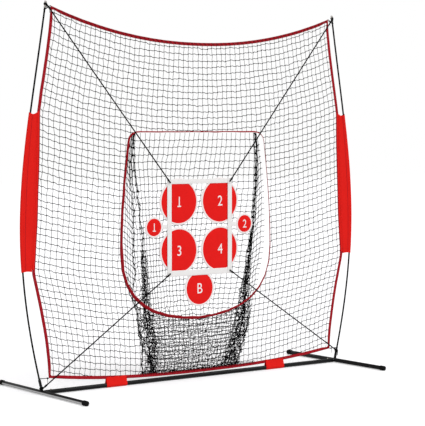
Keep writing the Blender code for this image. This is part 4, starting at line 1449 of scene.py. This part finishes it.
def with_foot(points, faces):
    """The outline of a numeral one with a bar added under its stem."""
    low, high = points.min(0), points.max(0)
    stem = points[points[:, 1] < low[1] + 0.05]
    centre = (stem[:, 0].min() + stem[:, 0].max()) / 2
    thick, reach = (high[1] - low[1]) * 0.13, (high[1] - low[1]) * 0.27
    corners = [(-reach, -thick), (reach, -thick), (reach, 0.0), (-reach, 0.0)]
    foot = [(centre + x, low[1] + y, 0.0) for x, y in corners]
    count = len(points)
    return np.concatenate([points, foot]), faces + [tuple(range(count, count + 4))]


SIGN_SQUEEZE = 0.88


def numeral_mesh(text, height, squeeze):
    """The flat outline of one printed sign, as points and faces about its centre."""
    curve = bpy.data.curves.new("sign", "FONT")
    curve.body, curve.size, curve.extrude = text, 1.0, 0.0
    obj = bpy.data.objects.new("sign", curve)
    bpy.context.scene.collection.objects.link(obj)
    graph = bpy.context.evaluated_depsgraph_get()
    mesh = bpy.data.meshes.new_from_object(obj.evaluated_get(graph))
    points = np.array([v.co for v in mesh.vertices])
    faces = [tuple(p.vertices) for p in mesh.polygons]
    bpy.data.objects.remove(obj)
    if text == "1":
        points, faces = with_foot(points, faces)
    middle = (points.max(0) + points.min(0)) / 2
    scale = height / (points.max(0) - points.min(0))[1]
    return (points - middle) * (scale * squeeze, scale, 1), faces


def print_sign(builder, text, centre, front, height, which):
    """Ink on a disc's face, as a thin raised layer."""
    points, faces = numeral_mesh(text, height, SIGN_SQUEEZE)
    lift = 0.0007
    top = np.stack([centre.x + points[:, 0], np.full(len(points), front - lift), centre.z + points[:, 1]], 1)
    base = top + (0, lift + 0.0012, 0)
    count = len(points)
    edges = {}
    for face in faces:
        for a, b in zip(face, face[1:] + face[:1]):
            edges[(a, b)] = edges.get((b, a), 0) + 1
            if (b, a) in edges:
                edges[(b, a)] = edges[(a, b)] = 2
    walls = [(b, a, a + count, b + count) for (a, b), uses in edges.items() if uses == 1]
    bottom = [tuple(i + count for i in reversed(face)) for face in faces]
    builder.add(np.concatenate([top, base]), list(faces) + bottom + walls, which)


class TARGETNET_OT_discs(bpy.types.Operator):
    """Red padded discs with a white bound edge and a printed number"""

    bl_idname = "target_net.discs"
    bl_label = "Target discs"

    signs = (
        ("target_disc_top_left", "1", "strike_zone"),
        ("target_disc_top_right", "2", "strike_zone"),
        ("target_disc_bottom_left", "3", "strike_zone"),
        ("target_disc_bottom_right", "4", "strike_zone"),
        ("low_target_disc", "B", "low_target"),
        ("side_target_disc_left", "1", "side_target_left"),
        ("side_target_disc_right", "2", "side_target_right"),
    )

    def execute(self, context):
        for name, text, body in self.signs:
            self.disc(name, text, body)
        for side, sign in SIDES:
            self.strap(side, sign)
        return {"FINISHED"}

    def disc(self, name, text, body):
        sizes, rng = settings().cloth, np.random.RandomState(SEED + len(name))
        low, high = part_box(name)
        centre, thickness = (low + high) / 2, high.y - low.y
        disc = Builder()
        bound = disc_mesh(disc, centre, (high.x - low.x) / 2, thickness, sizes, rng)
        for face in (-1, 1):
            reach, y = bound + 0.002, centre.y + face * (thickness / 2 + 0.0003)
            seam = [
                (centre.x + reach * math.cos(a), y, centre.z + reach * math.sin(a))
                for a in np.linspace(0, 2 * math.pi, 120)
            ]
            sew(disc, seam, (0, face, 0), sizes, which=3)
        height = sizes.small_numeral if name.startswith("side") else sizes.numeral
        print_sign(disc, text, centre, low.y - sizes.crown, height, 2)
        made = disc.piece(
            "padded_" + name, "vinyl binding ink thread_white", body, "red_padded_vinyl", (name,),
            with_uv=True,
        )

    def strap(self, side, sign):
        name = f"side_target_strap_{side}"
        low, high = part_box(name)
        ends = (low.x - 0.002, high.x + 0.001) if sign < 0 else (low.x - 0.001, high.x + 0.002)
        rows = band(*strip_edges(low, high, 0, np.linspace(*ends, 14)), WEB_PROFILE)
        strap = Builder()
        strap.grid(rows, closed=True, capped=True, uv=weave_uv(rows, 0.025))
        made = strap.piece("sewn_" + name, "webbing", None, "white_webbing", (name,), with_uv=True)
        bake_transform(made)


# ---------------------------------------------------------------- stand


def round_ended(start, end, radius, wall, chamfer):
    """Rings for an open tube from start to end: outside, lip and inside."""
    start, end = np.array(start, float), np.array(end, float)
    way = unit(end - start)
    inner = radius - wall
    path = [
        (end - way * 0.03, inner), (end - way * chamfer * 0.4, inner), (end, inner + wall * 0.35),
        (end, radius - wall * 0.35), (end - way * chamfer, radius), (start + way * chamfer, radius),
        (start, radius - wall * 0.35), (start, inner + wall * 0.35), (start + way * chamfer * 0.4, inner),
        (start + way * 0.03, inner),
    ]
    return path, way


def ringed(path, way, sides):
    """Rows of points for rings that all face the same way."""
    guide = np.array((0.0, 0.0, 1.0)) if abs(way[2]) < 0.9 else np.array((0.0, 1.0, 0.0))
    first = unit(np.cross(way, guide))
    cos, sin = turns_of(sides)
    ring = cos * first + sin * np.cross(way, first)
    return np.array([np.array(centre)[None] + radius * ring for centre, radius in path])


class TARGETNET_OT_stand(bpy.types.Operator):
    """Steel feet and crossbar, sockets, bowed rods, ferrules and tips"""

    bl_idname = "target_net.stand"
    bl_label = "Stand"

    sides = 32

    def execute(self, context):
        for side, _ in SIDES:
            self.foot(side)
            self.bar(side)
            self.rods(side)
            self.socket(side)
            self.tip(side)
            for end, sign in (("front", -1), ("back", 1)):
                self.cap(f"foot_cap_{side}_{end}", sign)
        kept = (
            ("zinc", "crossbar_spigot_left", "crossbar_spigot_right", "crossbar_splice"),
            ("brass", "snap_button_left", "snap_button_right", "snap_button_centre"),
            ("spring", "snap_spring_left", "snap_spring_right", "snap_spring_centre"),
        )
        for material, *names in kept:
            for name in names:
                frame["nodes"][name].data.materials[0] = MATERIALS[material]
        return {"FINISHED"}

    def finished(self, name, material, slot, *skins, capped=False):
        """One piece over a node of the frame, from skins of closed rows."""
        made = Builder()
        for rows in skins:
            made.grid(rows, closed=True, capped=capped)
        made.piece("finished_" + name, material, "stand", slot, (name,))

    def straight(self, name, axis, material, slot):
        low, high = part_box(name)
        start, end = ((low + high) / 2 for _ in range(2))
        start[axis], end[axis] = low[axis], high[axis]
        path, way = round_ended(start, end, (high.z - low.z) / 2, 0.0015, 0.0008)
        self.finished(name, material, slot, ringed(path, way, self.sides))

    def foot(self, side):
        # The left foot takes the coat with the painted floor reflection and the right foot the plain bar
        # coat: a lit and a shaded copy of one steel.
        self.straight(f"foot_tube_{side}", 1, "foot" if side == "left" else "bar", "zinc_plated_steel")

    def bar(self, side):
        self.straight(f"crossbar_{side}", 0, "bar", "black_coated_steel")

    def cap(self, name, sign):
        low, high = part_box(name)
        radius = (high.x - low.x) / 2
        tip, root = (low.y, high.y) if sign < 0 else (high.y, low.y)
        inner = radius - 0.0022
        spots = [
            (tip, 0.0004), (tip, radius * 0.62), (tip - sign * 0.0012, radius * 0.88),
            (tip - sign * 0.0035, radius), (root + sign * 0.0070, radius),
            (root + sign * 0.0058, radius * 1.02), (root + sign * 0.0016, radius * 1.02),
            (root, radius * 0.985), (root, inner), (tip - sign * 0.004, inner),
            (tip - sign * 0.004, 0.0004),
        ]
        path = [(np.array(((low.x + high.x) / 2, y, high.z - radius)), r) for y, r in spots]
        rows = ringed(path, np.array((0.0, float(sign), 0.0)), self.sides)
        rows[..., 2] = np.maximum(rows[..., 2], 0.0)
        self.finished(name, "rubber", "black_rubber", rows)

    def rods(self, side):
        for part in ("lower", "upper"):
            name = f"pole_rod_{part}_{side}"
            path = smooth_path(centre_line(name, 2), 70)
            radius = np.full(len(path), 0.00525)
            radius[0] = radius[-1] = 0.0047
            self.finished(name, "rod", "black_fibreglass", tube_rows(path, radius, 18), capped=True)
        name = f"pole_ferrule_{side}"
        path = smooth_path(centre_line(name, 2), 26)
        outside = np.full(26, 0.00695)
        outside[:2] = (0.0060, 0.0067)
        outside[-2:] = (0.0067, 0.0060)
        outside[6:8] = outside[18:20] = 0.0064
        self.finished(name, "aluminium", "aluminium", tube_rows(path, outside, 20), capped=True)

    def socket(self, side):
        """A tube leaning out of the foot, with a bead of weld round its root."""
        name = f"pole_socket_{side}"
        low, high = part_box(name)
        rod = centre_line(f"pole_rod_lower_{side}", 2)
        way = unit(rod[1] - rod[0])
        foot_low, foot_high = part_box(f"foot_tube_{side}")
        base = np.array(((foot_low.x + foot_high.x) / 2, 0, (foot_low.z + foot_high.z) / 2))
        end = base + way * ((high.z - 0.001 - base[2]) / way[2])
        start = base + way * 0.0105
        radius = (high.y - low.y) / 2
        path, way = round_ended(start, end, radius, 0.0022, 0.0010)
        angle = np.linspace(0, 2 * math.pi, 61)
        foot_radius = (foot_high.z - foot_low.z) / 2
        side_x = (radius + 0.0006) * np.cos(angle)
        side_y = (radius + 0.0006) * np.sin(angle)
        rise = np.sqrt(np.maximum((foot_radius + 0.0005) ** 2 - side_x**2, 0))
        weld = np.stack([base[0] + side_x + way[0] * rise, side_y, base[2] + rise], 1)
        bead = tube_rows(weld, 0.0012 + 0.0003 * np.sin(angle * 15), 8)
        self.finished(name, "bar", "black_coated_steel", ringed(path[:8], way, self.sides), bead)

    def tip(self, side):
        """A metal cup over the rod's end, rolled in at its mouth."""
        rod = centre_line(f"pole_rod_upper_{side}", 2)
        way = unit(rod[-1] - rod[-2])
        top = rod[-1] + way * 0.0042
        spots = [
            (0.0, 0.0003), (0.0, 0.0046), (-0.0006, 0.0058), (-0.0018, 0.00665), (-0.0100, 0.0068),
            (-0.0108, 0.0063), (-0.0126, 0.0063), (-0.0134, 0.0068), (-0.0400, 0.0068), (-0.0410, 0.0066),
            (-0.0412, 0.0057),
        ]
        rows = ringed([(top + way * d, r) for d, r in spots], way, self.sides)
        self.finished(f"pole_tip_{side}", "aluminium", "aluminium", rows)


def smooth_path(points, count):
    """Points on a smooth curve through the given ones."""
    points = np.asarray(points, float)
    length = along_length(points)
    places = np.linspace(0, length[-1], count)
    slopes = np.gradient(points, length, axis=0)
    found = []
    for place in places:
        i = min(int(np.searchsorted(length, place, side="right")) - 1, len(points) - 2)
        span = length[i + 1] - length[i]
        t = (place - length[i]) / span
        a, b = points[i], points[i + 1]
        found.append(
            a * (2 * t**3 - 3 * t**2 + 1) + b * (3 * t**2 - 2 * t**3)
            + slopes[i] * span * (t**3 - 2 * t**2 + t) + slopes[i + 1] * span * (t**3 - t**2)
        )
    return np.array(found)


# ---------------------------------------------------------------- stage


class TARGETNET_OT_stage(bpy.types.Operator):
    """Pale floor, soft studio light and the camera"""

    bl_idname = "target_net.stage"
    bl_label = "Stage"

    def execute(self, context):
        stage = settings().stage
        self.floor(stage.floor / 2, stage.glow)
        self.lights(stage)
        camera = bpy.data.cameras.new("camera")
        camera.lens, camera.clip_end = stage.lens, 200
        holder = bpy.data.objects.new("camera", camera)
        holder.location = stage.camera
        holder.rotation_euler = (math.pi / 2 - stage.dip, 0, stage.heading)
        context.scene.collection.objects.link(holder)
        context.scene.camera = holder
        context.scene.view_settings.view_transform = "Standard"
        return {"FINISHED"}

    def floor(self, half, glow):
        mesh = bpy.data.meshes.new("floor")
        corners = [(-half, -half, 0), (half, -half, 0), (half, half, 0), (-half, half, 0)]
        mesh.from_pydata(corners, [], [(0, 1, 2, 3)])
        material, tree, shader = new_material(
            "painted_studio_floor", Roughness=0.9, Emission_Color=(1, 1, 1, 1)
        )
        blotched(tree, shader, linear("#E6E6E8"), 0.99, 2)
        seen = add(tree, "LightPath").outputs["Is Camera Ray"]
        lift = add(tree, "MapRange", {"To Min": 0.0, "To Max": glow}, Value=seen)
        tree.links.new(lift.outputs[0], shader.inputs["Emission Strength"])
        mesh.materials.append(material)
        floor = bpy.data.objects.new("floor", mesh)
        bpy.context.scene.collection.objects.link(floor)

    def lights(self, stage):
        world = bpy.data.worlds.new("studio")
        world.use_nodes = True
        tree = world.node_tree
        seen = add(tree, "LightPath").outputs["Is Camera Ray"]
        strength = add(tree, "MapRange", {"To Min": stage.sky, "To Max": 1.0}, Value=seen)
        background = tree.nodes["Background"]
        background.inputs[0].default_value = (1, 1, 1, 1)
        tree.links.new(strength.outputs[0], background.inputs[1])
        bpy.context.scene.world = world
        lamps = (("key", (2.2, -3.0, 5.0), stage.key, 40), ("fill", (-4.0, -4.5, 4.0), stage.key * 0.4, 70))
        for name, place, strength, spread in lamps:
            lamp = bpy.data.lights.new(name, "SUN")
            lamp.energy, lamp.angle = strength, math.radians(spread)
            holder = bpy.data.objects.new(name, lamp)
            holder.location = place
            holder.rotation_euler = (-Vector(place)).to_track_quat("-Z", "Y").to_euler()
            bpy.context.scene.collection.objects.link(holder)


# ---------------------------------------------------------------- add-on

OPERATORS = (
    TARGETNET_OT_stage, TARGETNET_OT_stand, TARGETNET_OT_front_net, TARGETNET_OT_pocket_net,
    TARGETNET_OT_border_tapes, TARGETNET_OT_rim, TARGETNET_OT_sleeves, TARGETNET_OT_bar_straps,
    TARGETNET_OT_cords, TARGETNET_OT_strike_zone, TARGETNET_OT_discs,
)


class TARGETNET_PT_panel(bpy.types.Panel):
    """Lists the object's pieces and their settings"""

    bl_idname = "TARGETNET_PT_panel"
    bl_label = "Target net"
    bl_space_type = "VIEW_3D"
    bl_region_type = "UI"
    bl_category = "Target net"

    def draw(self, context):
        for operator in OPERATORS:
            self.layout.operator(operator.bl_idname)
        for group in ("net", "cloth", "finish", "stage"):
            box = self.layout.box()
            values = getattr(context.scene.target_net, group)
            for name in values.__annotations__:
                box.prop(values, name)


CLASSES = (NetSizes, ClothSizes, Finishes, StageSizes, TargetNetSettings, *OPERATORS, TARGETNET_PT_panel)


def register():
    for cls in CLASSES:
        bpy.utils.register_class(cls)
    bpy.types.Scene.target_net = PointerProperty(type=TargetNetSettings)


def unregister():
    del bpy.types.Scene.target_net
    for cls in reversed(CLASSES):
        bpy.utils.unregister_class(cls)


def main():
    register()
    make_materials(settings().finish)
    for operator in OPERATORS:
        group, name = operator.bl_idname.split(".")
        getattr(getattr(bpy.ops, group), name)()
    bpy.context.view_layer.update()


if __name__ == "__main__":
    main()
